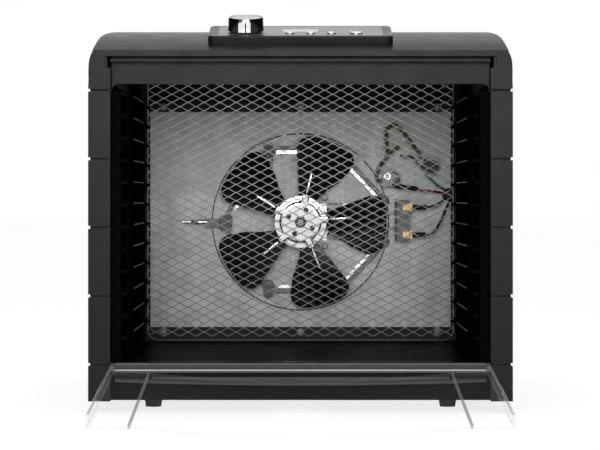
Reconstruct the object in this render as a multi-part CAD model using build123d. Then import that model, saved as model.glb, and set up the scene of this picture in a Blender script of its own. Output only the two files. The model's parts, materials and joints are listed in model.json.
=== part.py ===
"""Countertop food dehydrator with its front door hanging open.

Built with X to the right, Y from the pillar fronts towards the back and Z up from the
bottom of the feet, then moved so that the origin is the bottom centre of the whole box.
Sizes are in millimetres and angles in degrees.
"""
import os
from math import atan2, cos, degrees, radians, sin, tan

from build123d import *

# ---- cabinet
body_width = 347.0
body_depth = 408.0
body_top = 320.0
foot_height = 9.5
shell_wall = 2.5
pillar_width = 18.0
pillar_return = 16.0
recess_depth = 13.0
fit_gap = 0.2
half_width = body_width / 2
opening_half = half_width - pillar_width
dome_front = body_top - 23.5
dome_run = 150.0
rear_corner = 12.0
lean_start = body_top - 48.0
lean = 7.0
top_corner = 14.0
lean_blend = 120.0
pillar_top = body_top - 38.0
cover_low = body_top - 28.4
collar_drop = 14.0
collar_wall = 2.0
rim_height = 3.0
groove_first = 39.5
groove_pitch = 56.1
groove_count = 5
groove_depth = 1.6
groove_width = 2.5
lip_thick = 4.0
lip_proud = 0.8
lip_half = opening_half + 4.0
header_lip = 12.0
opening_corner = 6.0
ledge_low = body_top - 32.8
ledge_thick = 2.0
foot_places = [(x, y) for x in (-opening_half + 31.5, opening_half - 31.5) for y in (67.0, body_depth - 58.0)]
foot_top_radius = 8.0
foot_low_radius = 6.5
foot_boss = 9.0
foot_stem = 3.0
foot_plug = 6.0
base_rib_half = 1.0
base_rib_places = (-60.0, 60.0)

# ---- chamber
floor_top = 39.5
opening_top = body_top - 50.4
liner_low = body_top - 28.0
liner_wall = 1.5
liner_margin = 14.0
screen_front = 335.0
screen_half = opening_half - 9.5
screen_top = body_top - 29.5
screen_corner = 9.5
screen_thick = 0.9
screen_border = 1.3
strand = 1.1
diamond_long = 15.3
diamond_short = 7.8
diamond_fill = 0.974
frame_thick = 1.5
frame_outer = opening_half - 4.0
frame_inner = opening_half - 12.5
frame_edge = 4.0
frame_bar_low = floor_top + 8.5
frame_bar_high = body_top - 58.0
frame_bar = 8.0
screen_screw_x = screen_half - 15.5
screen_screw_radius = 1.5
screen_screw_tip = 0.9
screen_screw_head = 2.6
screen_washer = 3.4
screen_screw_places = [(x, z) for x in (-screen_screw_x, 0.0, screen_screw_x)
                       for z in (frame_bar_low, frame_bar_high)]
rack_face = opening_half - 7.5
rack_wall = 2.5
rack_top = body_top - 57.0
rail_reach = 5.0
rail_thick = 3.0
rail_count = 12
rail_pitch = 18.3
rail_spans = ((17.0, 84.0), (109.0, 243.0), (296.0, screen_front - 1.0))
rail_nose = 4.0
rib_places = (90.0, 101.0, 250.0, 288.0)
rib_reach = 2.5
rib_width = 4.0

# ---- fan wheel
fan_height = 152.5
plate_front = screen_front + 32.0
blade_radius = 82.5
blade_count = 5
blade_plane = plate_front - 18.0
blade_pitch = 14.0
blade_thick = 1.0
blade_first = 6.0
blade_tip_round = 14.0
hub_radius = 25.5
hub_front = plate_front - 22.0
hub_thick = 1.2
hub_skirt = 6.0
hub_root = hub_radius - 0.6
hub_bead_outer = 20.4
hub_bead_inner = 18.8
hub_bead_proud = 0.7
rib_radius = 1.8
rib_length = 22.0
rivet_circle = 12.5
rivet_radius = 1.6
rivet_head = 2.4
rivet_head_proud = 0.9
rivet_places = [(rivet_circle * cos(radians(a)), rivet_circle * sin(radians(a)))
                for a in (65.5, 154.7, 242.7, 332.7)]
nut_across = 10.5
nut_thick = 5.0
collar_flange = 16.0
collar_flange_thick = 1.5
collar_radius = 8.0
collar_length = 8.0

# ---- plate and motor
plate_thick = 1.0
plate_back = plate_front + plate_thick
plate_low = 51.1
plate_high = body_top - 61.5
plate_half = opening_half - 5.5
plate_corner = 3.0
ring_bead = blade_radius + 2.5
ring_half = 1.5
ring_proud = 1.2
plate_screw_places = [(x, z) for x in (-plate_half + 3.0, plate_half - 3.0)
                      for z in (plate_low + 8.0, plate_high - 8.0)]
plate_screw_radius = 1.5
plate_screw_head = 2.8
post_radius = 2.6
motor_window = (-20.0, 47.0, -18.0, 18.0)
stator_front = plate_front + 10.0
stator_depth = 18.0
stator_side = -19.0
stator_half = 20.0
stator_yoke = 7.0
limb_low = 31.0
limb_high = 41.0
coil_wall = 4.8
rotor_radius = 12.3
rotor_gap = 0.5
motor_screw_place = 23.4
motor_screw_radius = 1.75
motor_screw_head = 3.2
motor_nut_across = 6.0
motor_nut_thick = 2.6
motor_screw_places = [(x, z) for x in (-motor_screw_place, motor_screw_place)
                      for z in (-motor_screw_place, motor_screw_place)]
spacer_wall = 1.4
bracket_thick = 1.5
bracket_gap = 3.0
front_bracket_y = plate_back + bracket_gap
rear_bracket_y = stator_front + stator_depth + bracket_gap
bearing_radius = 6.0
bearing_proud = 1.0
shaft_radius = 2.75
shaft_front = hub_front - 7.0
shaft_back = rear_bracket_y + bracket_thick + 4.5
running_clearance = 0.05

# ---- heater: corners of the ring round the fan, from the upper left, clockwise
heater_corners = ((-30.8, 71.1), (34.6, 71.1), (81.7, 21.1), (81.7, -20.2), (38.4, -66.3), (-30.8, -66.3),
                  (-75.9, -1.0))
heater_y = plate_front - 6.0
heater_radius = 2.0
heater_bend = 4.0
heater_start = (81.7, 8.0)
heater_end = (81.7, -6.0)
lead_half = 0.8
lead_end_x = 101.0
seat_width = 11.0
seat_height = 8.0
seat_shift = 2.0
cheek_size = (3.0, 6.0, 5.0)
terminal_x = 91.6
terminal_wall = 1.5
terminal_low = 133.1
terminal_high = 174.6
terminal_heights = (166.8, 140.4)
mica_reach = 13.4
mica_front = plate_front - 12.0
mica_thick = 2.0
tab_x = 106.2
tab_half = 1.0
tab_height = 4.6
boot_ends = (121.0, 120.0)
boot_y = mica_front - 3.0
boot_radius = 2.3
thermostat_x = 83.5
thermostat_z = 196.4
thermostat_y = plate_front - 9.0
thermostat_can = 6.5
thermostat_sheet = 1.2
thermostat_rivet = 1.5

# ---- inner wiring
arc_share = 0.45
wire_radius = 1.1
sleeve_radius = 1.9
loom_radius = 2.5
connector_x = 124.6
connector_y = 357.0
connector_z = 206.3
connector_tilt = 25.0
grommet_x = 143.0
grommet_z = 178.5
grommet_neck = 5.0
grommet_flange = 1.6
grommet_lip = 2.0

# ---- rear
housing_half = 110.0
housing_low = 60.0
housing_high = body_top - 70.0
housing_depth = 26.0
housing_corner = 14.0
housing_edge = 6.0
louvre_count = 13
louvre_pitch = 13.0
louvre_height = 4.0
louvre_width = 86.0
louvre_places = (-50.0, 50.0)
gland_x = -opening_half + 35.5
gland_z = 52.0
gland_bore = 4.0
gland_neck = 6.5
gland_flange = 1.8
gland_inside = 3.0
gland_length = 14.0
cover_screw_radius = 1.6
cover_screw_head = 3.4
cover_screw_places = [(x, z) for x in (-opening_half + 10.5, 0.0, opening_half - 10.5)
                      for z in (foot_height + 15.5, cover_low - 3.6)]

# ---- control panel: heights over its face are measured along its normal
panel_width = 153.0
panel_length = 66.0
panel_slope = 11.4
panel_front = 20.0
panel_front_height = body_top - 10.8
panel_corner = 6.0
panel_depth = 11.0
panel_edge = 1.2
panel_mid = panel_length / 2
panel_wall = 2.5
panel_roof = 3.0
plate_recess = 0.8
plate_recess_corner = 2.0
faceplate_width = panel_width - 16.0
faceplate_length = panel_length - 10.0
knob_x = -45.5
knob_up = 23.5
knob_low = 0.6
knob_radius = 15.0
knob_height = 12.5
knob_wall = 2.0
knob_cavity = 6.0
knob_socket = 3.0
encoder_radius = 3.0
encoder_size = 12.0
bushing_radius = 4.5
button_up = 17.0
button_x = (-8.8, 8.4, 25.6)
button_radius = 3.75
button_gap = 0.35
power_x = 46.3
power_radius = 5.35
button_proud = 1.2
button_low = -4.6
button_travel = 1.0
switch_top = -8.2
switch_size = 6.0
plunger_radius = 1.5
display_width = 30.0
display_length = 16.0
display_up = panel_length - 30.0
lens_thick = 1.1
board_drop = 12.6
board_thick = 1.6
board_top = -board_drop + board_thick
board_margin = 9.0
board_screw = 1.25
board_screw_head = 2.4
board_boss = 3.0
board_screw_places = [(x, up) for x in (-panel_width / 2 + 8.5, panel_width / 2 - 8.5)
                      for up in (8.0, panel_length - 8.0)]

# ---- door: heights and depths are measured from its hinge line
hinge_y = recess_depth / 2
hinge_z = floor_top - 3.0
door_half = opening_half - 0.5
door_reach = ledge_low - hinge_z - 2.7
door_drop = 5.0
door_wall = 2.5
door_bow = 7.0
door_border = 32.0
door_face = 5.5
flange_height = 10.5
finger_lip_drop = 4.5
roll_radius = 5.2
roll_gap = 0.1
rail_end_gap = 0.3
rail_web = 4.0
rail_low = 11.8
rail_bow = 2.8
rail_round = 1.5
tab_step = 0.6
pin_radius = 2.5
pin_reach = 2.55
pin_bore = 12.0

fan_at = Pos(0, 0, fan_height)
panel_at = Pos(0, panel_front, panel_front_height) * Rot(X=panel_slope)
panel_normal = Axis((0, 0, 0), (0, -sin(radians(panel_slope)), cos(radians(panel_slope))))
hang = Pos(0, hinge_y, hinge_z) * Rot(X=door_drop)

# ---- routes of the inner wires, chosen by hand
brown_route = ((84.0, 350.0, 216.0), (82.6, 350.5, 228.0), (81.8, 350.5, 241.0), (89.0, 350.0, 247.0),
               (97.7, 350.0, 240.0), (108.0, 352.0, 226.0), (116.6, 355.5, 214.4))
fuse_route = ((94.5, 356.0, 225.0), (84.5, 355.0, 217.0), (75.5, 357.0, 205.5), (72.6, 360.0, 196.5),
              (75.0, 362.0, 190.0))
red_route = ((113.0, 354.0, 184.0), (122.0, 353.0, 182.0), (133.0, 356.0, 181.6), (140.5, 363.8, 179.4))
blue_route = ((119.6, 354.5, 199.0), (126.0, 353.0, 193.0), (131.5, 355.0, 187.0), (140.8, 363.8, 182.8))
black_upper_route = ((121.4, 352.0, 166.8), (128.0, 352.0, 167.6), (134.5, 355.5, 171.5),
                     (141.3, 363.8, 175.4))
black_lower_route = ((120.4, 352.0, 140.4), (126.5, 351.0, 141.0), (133.0, 353.0, 150.0),
                     (139.0, 356.5, 164.0), (144.6, 363.8, 174.8))
black_link_route = ((96.0, 352.5, 216.0), (105.4, 351.0, 216.0), (110.5, 353.5, 211.5), (114.0, 356.0, 207.4))
loom_route = ((143.0, 371.0, 178.5), (143.0, 388.0, 182.0), (143.0, 392.0, 210.0), (143.0, 391.0, 262.0),
              (137.0, 380.0, 301.0), (120.0, 340.0, 303.0), (100.0, 260.0, 303.5), (80.0, 180.0, 303.5),
              (62.0, 120.0, 303.0), (55.0, 92.0, 304.0))


def span(x0, x1, y0, y1, z0, z1):
    """A box between two corners."""
    return Pos((x0 + x1) / 2, (y0 + y1) / 2, (z0 + z1) / 2) * Box(x1 - x0, y1 - y0, z1 - z0)


def rod_y(radius, y0, y1, x=0.0, z=0.0):
    """A cylinder along Y between two depths."""
    return Pos(x, (y0 + y1) / 2, z) * Rot(X=90) * Cylinder(radius, y1 - y0)


def along_y(sketch, y0, y1):
    """A sketch drawn in X and Z, extruded between two depths."""
    return Pos(0, y1, 0) * extrude(Plane.XZ * sketch, y1 - y0)


def mirrored(shape):
    """The same shape on the other side of the centre plane."""
    return mirror(shape, about=Plane.YZ)


def arch(inset):
    """Cabinet outline seen from the front, moved in by an inset."""
    low = foot_height + inset
    side = half_width - inset
    top = body_top - inset
    right = [(side, low), (side, lean_start), (side - lean, top)]
    left = [(-x, z) for x, z in reversed(right)]
    outline = make_face(Polyline(*right, *left, close=True))
    tops = outline.vertices().filter_by(lambda v: v.Y > top - 1)
    outline = fillet(tops, top_corner - inset)
    bends = outline.vertices().filter_by(lambda v: abs(v.Y - lean_start) < 1)
    return fillet(bends, lean_blend)


def block(inset):
    """Solid of the closed cabinet body, moved in by an inset."""
    low = foot_height + inset
    top = body_top - inset
    back = body_depth - inset
    round_back = rear_corner - inset
    dome = TangentArc((dome_run, top), (inset, dome_front - inset), tangent=(-1, 0))
    lower = Polyline((inset, dome_front - inset), (inset, low), (back, low), (back, top - round_back))
    corner = RadiusArc((back, top - round_back), (back - round_back, top), -round_back)
    roof = Line((back - round_back, top), (dome_run, top))
    side = make_face([*dome.edges(), *lower.edges(), *corner.edges(), *roof.edges()])
    profile = extrude(Plane.YZ * side, half_width, both=True)
    return along_y(arch(inset), inset, back) & profile


def slabs(low, high, outer=2.0 * body_depth):
    """Everything between two heights."""
    return span(-outer, outer, -outer, outer, low, high)


outer_block = block(0.0)
shell = outer_block - block(shell_wall)


def side_panel():
    """Right side: outer skin, pillar front, pillar return wall, grooves and hinge bore."""
    region = span(opening_half, body_width, -1, body_depth + 1, 0, pillar_top)
    skin = shell & region
    inner_wall = span(opening_half, opening_half + shell_wall, 0, pillar_return, foot_height, pillar_top)
    panel = skin + (inner_wall & outer_block)
    inside = half_width - groove_depth
    keep = span(-inside, inside, groove_depth, body_depth - groove_depth, 0, body_top)
    for k in range(groove_count):
        z = groove_first + groove_pitch * k
        band = slabs(z - groove_width / 2, z + groove_width / 2) - keep
        panel -= band
    bore = Rot(Y=90) * Cylinder(pin_radius + running_clearance, pin_bore)
    return panel - Pos(opening_half, hinge_y, hinge_z) * bore


def base_pan():
    """Floor, recessed bottom front and feet bosses, open below."""
    side = opening_half - fit_gap
    back = body_depth - shell_wall - fit_gap
    tray = span(-side, side, recess_depth, back, foot_height, floor_top)
    tray -= span(-side + shell_wall, side - shell_wall, recess_depth + shell_wall, back - shell_wall,
                 0, floor_top - shell_wall)
    for x in base_rib_places:
        tray += span(x - base_rib_half, x + base_rib_half, recess_depth, back, foot_height + shell_wall,
                     floor_top)
    for x, y in foot_places:
        tray += Pos(x, y, (foot_height + floor_top) / 2) * Cylinder(foot_boss, floor_top - foot_height)
        tray -= Pos(x, y, foot_height) * Cylinder(foot_stem, 2 * foot_plug)
    tray = fillet(tray.edges().filter_by(Axis.X).filter_by(
        lambda e: e.center().Y < recess_depth + 0.1 and e.center().Z < foot_height + 0.1), 1.0)
    return drilled(tray)


def drilled(shape):
    """A shape with clear holes for the back panel's screws."""
    for x, z in cover_screw_places:
        shape -= rod_y(cover_screw_radius, body_depth - 10, body_depth + 1, x, z)
    return shape


def rubber_feet():
    """Four rubber feet with push-in stems."""
    feet = []
    for x, y in foot_places:
        pad = Pos(x, y, foot_height / 2) * Cone(foot_low_radius, foot_top_radius, foot_height)
        stem = Pos(x, y, foot_height + foot_plug / 2 - 0.5) * Cylinder(foot_stem, foot_plug - 1.0)
        feet.append(pad + stem)
    return feet


def front_header():
    """Band across the top of the opening, with the thin ledge that closes the door recess."""
    side = opening_half - fit_gap
    top = liner_low - fit_gap
    front = recess_depth
    back = front + header_lip
    band = span(-side, side, front, front + shell_wall, opening_top, top)
    band += span(-side, side, front, back, opening_top, opening_top + shell_wall)
    band += span(-side, side, 1.0, front + 1, ledge_low, ledge_low + ledge_thick)
    for sign in (-1, 1):
        centre = sign * (side - opening_corner)
        low = opening_top - opening_corner
        gusset = span(min(centre, sign * side), max(centre, sign * side), front, back, low, opening_top)
        band += gusset - rod_y(opening_corner, front - 1, back + 1, centre, low)
    return band


def top_cover():
    """Domed cover with its front lip, shadow collar and the control panel cut-out."""
    cover = shell & slabs(cover_low, body_top + 1)
    rim_inner = block(shell_wall + fit_gap + collar_wall)
    rim = (outer_block - rim_inner) & slabs(cover_low, cover_low + rim_height)
    collar = (block(shell_wall + fit_gap) - rim_inner) & slabs(cover_low - collar_drop, cover_low + 1)
    clear_half = opening_half + shell_wall + fit_gap
    collar -= span(-clear_half, clear_half, -1, body_depth / 2, 0, cover_low)
    cover += rim + collar
    cover += span(-lip_half, lip_half, -lip_proud, shell_wall, cover_low, cover_low + lip_thick)
    return drilled(cover - panel_cutter())


def on_panel(x, up, low, high, shape):
    """Place a shape that is centred on its own origin so that it spans two heights over the panel face."""
    return panel_at * Pos(x, up, (low + high) / 2) * shape


def disc(x, up, low, high, radius):
    """A round piece standing on the control panel."""
    return on_panel(x, up, low, high, Cylinder(radius, high - low))


def slab(x, up, low, high, width, length, corner=0.0):
    """A rectangular piece lying on the control panel."""
    shape = RectangleRounded(width, length, corner) if corner else Rectangle(width, length)
    return panel_at * Pos(x, up, low) * extrude(shape, high - low)


def panel_cutter():
    """Opening in the top cover for the control panel."""
    return slab(0, panel_mid, -2 * panel_depth, 3, panel_width + 2 * fit_gap, panel_length + 2 * fit_gap,
                panel_corner + fit_gap)


def control_holes():
    """Holes through the panel for the buttons, the encoder's bushing and the display."""
    low = -panel_roof - 2
    holes = [disc(x, button_up, low, 1, button_radius + button_gap) for x in button_x]
    holes.append(disc(power_x, button_up, low, 1, power_radius + button_gap))
    holes.append(disc(knob_x, knob_up, low, 1, bushing_radius))
    holes.append(slab(0, display_up, low, 1, display_width, display_length))
    return holes


def panel_bezel():
    """Frame of the control panel, with a recess for the silver faceplate."""
    body = slab(0, panel_mid, -panel_depth, 0, panel_width, panel_length, panel_corner)
    rims = body.faces().sort_by(panel_normal)[-1].edges()
    body = fillet(rims, panel_edge)
    body -= slab(0, panel_mid, -panel_depth - 1, -panel_roof, panel_width - 2 * panel_wall,
                 panel_length - 2 * panel_wall, panel_corner - panel_wall)
    body -= slab(0, panel_mid, -plate_recess, 1, faceplate_width + fit_gap, faceplate_length + fit_gap,
                 plate_recess_corner)
    for x, up in board_screw_places:
        body += disc(x, up, board_top, -panel_roof + 0.5, board_boss)
        body -= disc(x, up, board_top - 1, -panel_roof - 2, board_screw)
    return body - control_holes()


def panel_faceplate():
    """Thin silver plate let into the bezel."""
    corner = plate_recess_corner - fit_gap / 2
    plate = slab(0, panel_mid, -plate_recess, 0, faceplate_width, faceplate_length, corner)
    return plate - control_holes()


def key(x, radius):
    """A push button: cap, flange under the bezel and a short plunger."""
    cap = disc(x, button_up, button_low, button_proud, radius)
    cap = fillet(cap.edges().filter_by(GeomType.CIRCLE).sort_by(lambda e: e.center().Z)[-1], 0.5)
    plunger = disc(x, button_up, switch_top + button_travel + fit_gap / 2, button_low + 0.1, plunger_radius)
    return cap + plunger


def button_switches():
    """Small switches on the control board, one below each button."""
    return [slab(x, button_up, board_top, switch_top, switch_size, switch_size) for x in (*button_x, power_x)]


def control_board():
    """Circuit board with holes for its corner screws."""
    width = panel_width - board_margin
    board = slab(0, panel_mid, -board_drop, board_top, width, panel_length - board_margin)
    for x, up in board_screw_places:
        board -= disc(x, up, -board_drop - 1, board_top + 1, board_screw)
    return board


def board_screws():
    """Four screws that hold the control board to the bezel."""
    screws = []
    for x, up in board_screw_places:
        shank = disc(x, up, -board_drop, -panel_roof - 2.4, board_screw)
        screws.append(shank + disc(x, up, -board_drop - 1.4, -board_drop, board_screw_head))
    return screws


def encoder_body():
    """Rotary encoder with its threaded bushing."""
    body = slab(knob_x, knob_up, board_top, -panel_roof - 0.4, encoder_size, encoder_size)
    body += disc(knob_x, knob_up, -panel_roof - 0.5, knob_low - fit_gap, bushing_radius)
    return body - disc(knob_x, knob_up, board_top + 2, 2, encoder_radius + running_clearance)


def encoder_shaft():
    """Shaft that the knob is pressed on."""
    return disc(knob_x, knob_up, board_top + 2.4, knob_height - knob_socket, encoder_radius)


def knob_cap():
    """Turned knob: hollow below, bored for its shaft."""
    cap = disc(knob_x, knob_up, knob_low, knob_low + knob_height, knob_radius)
    rims = cap.edges().filter_by(GeomType.CIRCLE).sort_by(lambda e: e.center().Z)
    cap = fillet(rims[-1], 0.7)
    boss = disc(knob_x, knob_up, 0, knob_cavity, encoder_radius + 2.5)
    cap -= disc(knob_x, knob_up, 0, knob_cavity, knob_radius - knob_wall) - boss
    cap -= disc(knob_x, knob_up, 0, knob_low + 1.0, encoder_radius + 3.0)
    return cap - disc(knob_x, knob_up, 0, knob_height - knob_socket, encoder_radius)


def display_lens():
    """Clear window over the display."""
    high = -fit_gap / 2
    low = high - plate_recess - lens_thick
    return slab(0, display_up, low, high, display_width - fit_gap, display_length - fit_gap)


def display_module():
    """Display block between the window and the board."""
    high = -fit_gap / 2 - plate_recess - lens_thick - fit_gap / 2
    return slab(0, display_up, board_top, high, display_width - 1, display_length - 1)


def ceiling_liner():
    """Sheet above the chamber, from the header to the screen frame."""
    side = half_width - liner_margin
    return span(-side, side, recess_depth + fit_gap, screen_front, liner_low, liner_low + liner_wall)


def rack_panel():
    """Right rack panel: wall, jamb flange, twelve interrupted rails and upright ribs."""
    front = recess_depth + fit_gap
    back = screen_front - 0.5
    low = floor_top
    panel = span(rack_face, rack_face + rack_wall, front, back, low, rack_top)
    jamb_side = opening_half - fit_gap
    nose_side = door_half - door_wall - 0.5
    panel += span(rack_face, jamb_side, front, front + rack_wall, low, rack_top)
    for k in range(rail_count):
        top = rack_top - rail_pitch * k
        for y0, y1 in rail_spans:
            panel += span(rack_face - rail_reach, rack_face + 0.5, y0, y1, top - rail_thick, top)
        panel += span(rack_face + 1, nose_side, rail_nose, front + 0.5, top - rail_thick, top)
    half_rib = rib_width / 2
    for y in rib_places:
        panel += span(rack_face - rib_reach, rack_face + 0.5, y - half_rib, y + half_rib, low, rack_top)
    return panel


def screen_outline(inset):
    """Outline of the screen seen from the front; its two lower corners are round."""
    low = floor_top + fit_gap + inset
    high = screen_top - inset
    side = screen_half - inset
    face = make_face(Polyline((-side, low), (side, low), (side, high), (-side, high), close=True))
    corners = face.vertices().filter_by(lambda v: v.Y < low + 1)
    return fillet(corners, screen_corner - inset)


def mesh_screen():
    """Expanded metal: one flat sheet with rows of staggered diamond openings."""
    inner = screen_outline(screen_border).face()
    rows = int((screen_top - floor_top) / diamond_short * 2) + 2
    columns = int(2 * screen_half / diamond_long) + 2
    centre_z = (floor_top + screen_top) / 2
    half_long = diamond_long / 2 - strand
    half_short = half_long * diamond_short / diamond_long * diamond_fill
    side_limit = screen_half - screen_border
    low_limit = floor_top + fit_gap + screen_border
    high_limit = screen_top - screen_border
    holes = []
    for row in range(-rows // 2, rows // 2 + 1):
        z = centre_z + row * diamond_short / 2
        shift = (row % 2) * diamond_long / 2
        for column in range(-columns // 2, columns // 2 + 1):
            x = column * diamond_long + shift
            if abs(x) + half_long > side_limit:
                continue
            if z - half_short < low_limit or z + half_short > high_limit:
                continue
            near_corner = abs(x) > screen_half - screen_corner and z < floor_top + screen_corner
            if near_corner:
                continue
            corners = ((x - half_long, z), (x, z - half_short), (x + half_long, z), (x, z + half_short))
            holes.append(Polyline(*corners, close=True))
    outer = screen_outline(0.0).face().outer_wire()
    sheet = Face(outer, [Wire(hole.edges()) for hole in holes])
    return along_y(sheet, screen_front, screen_front + screen_thick)


def mesh_frame():
    """Dark sheet frame behind the screen, with an upper and a lower bar."""
    y0 = screen_front + screen_thick
    y1 = y0 + frame_thick
    high = liner_low - fit_gap
    frame = span(-frame_outer, frame_outer, y0, y1, floor_top, high)
    half_bar = frame_bar / 2
    large = (frame_bar_low + half_bar, frame_bar_high - half_bar)
    small = (frame_bar_high + half_bar, high - frame_edge)
    for z0, z1 in (large, small):
        frame -= span(-frame_inner, frame_inner, y0 - 1, y1 + 1, z0, z1)
    for x, z in screen_screw_places:
        frame -= rod_y(screen_screw_radius, y0 - 1, y1 + 1, x, z)
    return frame


def mesh_screws():
    """Six pan-head screws and washers that clamp the screen."""
    screws = []
    for x, z in screen_screw_places:
        washer = rod_y(screen_washer, screen_front - 0.6, screen_front, x, z)
        head = rod_y(screen_screw_head, screen_front - 2.2, screen_front - 0.6, x, z)
        head = fillet(head.edges().filter_by(GeomType.CIRCLE).sort_by(Axis.Y)[0], 0.7)
        shank = rod_y(screen_screw_radius, screen_front + screen_thick,
                      screen_front + screen_thick + frame_thick + 2.0, x, z)
        tip = rod_y(screen_screw_tip, screen_front - 0.6, screen_front + screen_thick + 0.5, x, z)
        screws.append(washer + head + shank + tip)
    return screws


def mesh_screen_drilled():
    """The screen with clear holes where its screws pass."""
    screen = mesh_screen()
    for x, z in screen_screw_places:
        screen -= rod_y(screen_screw_tip, screen_front - 1, screen_front + 2, x, z)
    return screen


def plate_ring(gap):
    """Raised ring on the plate round the fan, grown by a gap."""
    outer = rod_y(ring_bead + ring_half + gap, plate_front - ring_proud - gap, plate_front)
    return fan_at * (outer - rod_y(ring_bead - ring_half - gap, plate_front - 2 - gap, plate_front + 1))


def baffle_plate():
    """Sheet behind the fan with a raised ring, a motor cut-out and screw holes."""
    plate = span(-plate_half, plate_half, plate_front, plate_back, plate_low, plate_high)
    plate = fillet(plate.edges().filter_by(Axis.Y), plate_corner)
    plate += plate_ring(0.0)
    x0, x1, z0, z1 = motor_window
    plate -= fan_at * span(x0, x1, plate_front - 1, plate_back + 1, z0, z1)
    for x, z in motor_screw_places:
        plate -= fan_at * rod_y(motor_screw_radius, plate_front - 2, plate_back + 1, x, z)
    plate -= rod_y(grommet_neck, plate_front - 2, plate_back + 1, grommet_x, grommet_z)
    for x, z in plate_screw_places:
        plate -= rod_y(plate_screw_radius, plate_front - 2, plate_back + 1, x, z)
    return plate


def plate_posts():
    """Four tubes that carry the plate from the screen frame."""
    y0 = screen_front + screen_thick + frame_thick
    posts = []
    for x, z in plate_screw_places:
        hole = rod_y(plate_screw_radius, y0 + 12, plate_front + 1, x, z)
        posts.append(rod_y(post_radius, y0, plate_front, x, z) - hole)
    return posts


def plate_screws():
    """Four screws through the plate from behind."""
    return [rod_y(plate_screw_radius, plate_front - 8.0, plate_back, x, z)
            + rod_y(plate_screw_head, plate_back, plate_back + 1.8, x, z) for x, z in plate_screw_places]


def blade_outline():
    """One fan blade seen from the front: a wedge with a round tip, drawn about a radius at zero."""
    def polar(radius, angle):
        return (radius * cos(radians(angle)), radius * sin(radians(angle)))

    reach = blade_radius * 1.3
    wedge = make_face(Polyline(polar(18, -22), polar(52, -31), polar(reach, -33), polar(reach, 15),
                               polar(52, 15), polar(18, 16), close=True))
    blade = wedge & Circle(blade_radius)
    tips = blade.vertices().filter_by(lambda v: v.X * v.X + v.Y * v.Y > (blade_radius - 0.5) ** 2)
    return fillet(tips, blade_tip_round)


def fan_wheel():
    """Stamped wheel: a shallow hub cup and five pitched blades."""
    cup = rod_y(hub_radius, hub_front, hub_front + hub_skirt)
    cup -= rod_y(hub_radius - hub_thick, hub_front + hub_thick, hub_front + hub_skirt + 1)
    wheel = cup
    reach = 2 * blade_radius
    for k in range(blade_count):
        turn = Rot(Y=-(blade_first + k * 360.0 / blade_count))
        prism = along_y(blade_outline(), hub_front - 8, hub_front + 20)
        sheet = Pos(0, blade_plane, 0) * Rot(X=blade_pitch) * Box(reach, blade_thick, reach)
        blade = prism & sheet
        bead = Pos(hub_radius + 9, blade_plane - 0.5, 0) * Rot(Y=90) * Cylinder(rib_radius, rib_length)
        wheel += turn * (blade + bead - rod_y(hub_root, hub_front - 9, hub_front + 21))
    bead = rod_y(hub_bead_outer, hub_front - hub_bead_proud, hub_front)
    wheel += bead - rod_y(hub_bead_inner, hub_front - 1, hub_front + 1)
    wheel -= rod_y(shaft_radius, hub_front - 2, hub_front + hub_skirt)
    for x, z in rivet_places:
        wheel -= rod_y(rivet_radius, hub_front - 2, hub_front + 5, x, z)
    return fan_at * wheel


def fan_collar():
    """Collar riveted behind the hub and fixed on the shaft."""
    front = hub_front + hub_thick
    flange = rod_y(collar_flange, front, front + collar_flange_thick)
    collar = flange + rod_y(collar_radius, front, front + collar_length)
    collar -= rod_y(shaft_radius, hub_front, front + 2 * collar_length)
    for x, z in rivet_places:
        collar -= rod_y(rivet_radius, hub_front - 1, front + collar_flange_thick + 0.1, x, z)
    return fan_at * collar


def fan_rivets():
    """Four rivets that join the hub to its collar."""
    rivets = []
    back = hub_front + hub_thick + collar_flange_thick
    for x, z in rivet_places:
        shank = rod_y(rivet_radius, hub_front, back, x, z)
        rivets.append(fan_at * (shank + rod_y(rivet_head, hub_front - rivet_head_proud, hub_front, x, z)))
    return rivets


def hexagon_y(across, y0, y1, x=0.0, z=0.0):
    """A hexagonal prism along Y."""
    return Pos(x, 0, z) * along_y(RegularPolygon(across / 2, 6, major_radius=False), y0, y1)


def fan_nut():
    """Nut on the front of the shaft."""
    return fan_at * (hexagon_y(nut_across, hub_front - nut_thick, hub_front)
                     - rod_y(shaft_radius, hub_front - nut_thick - 1, hub_front + 1))


def motor_shaft():
    """Steel shaft from the fan nut to the rear bearing."""
    return fan_at * rod_y(shaft_radius, shaft_front, shaft_back)


def motor_rotor():
    """Rotor core pressed on the shaft."""
    rotor = rod_y(rotor_radius, stator_front, stator_front + stator_depth)
    return fan_at * (rotor - rod_y(shaft_radius, stator_front - 1, stator_front + stator_depth + 1))


def motor_stator():
    """Laminated C-frame with the rotor bore and the limb that carries the coil."""
    y1 = stator_front + stator_depth
    frame = span(stator_side, limb_high, stator_front, y1, -stator_half, stator_half)
    frame -= span(stator_half, limb_low, stator_front - 1, y1 + 1, -stator_half + stator_yoke,
                  stator_half - stator_yoke)
    return fan_at * (frame - rod_y(rotor_radius + rotor_gap, stator_front - 1, y1 + 1))


def motor_coil():
    """Copper winding round the limb."""
    length = stator_half - stator_yoke - fit_gap
    y0 = stator_front - coil_wall
    y1 = stator_front + stator_depth + coil_wall
    coil = span(limb_low - coil_wall, limb_high + coil_wall, y0, y1, -length, length)
    coil = fillet(coil.edges().filter_by(Axis.Z), 3.0)
    return fan_at * (coil - span(limb_low, limb_high, stator_front, stator_front + stator_depth,
                                 -length - 1, length + 1))


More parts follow.
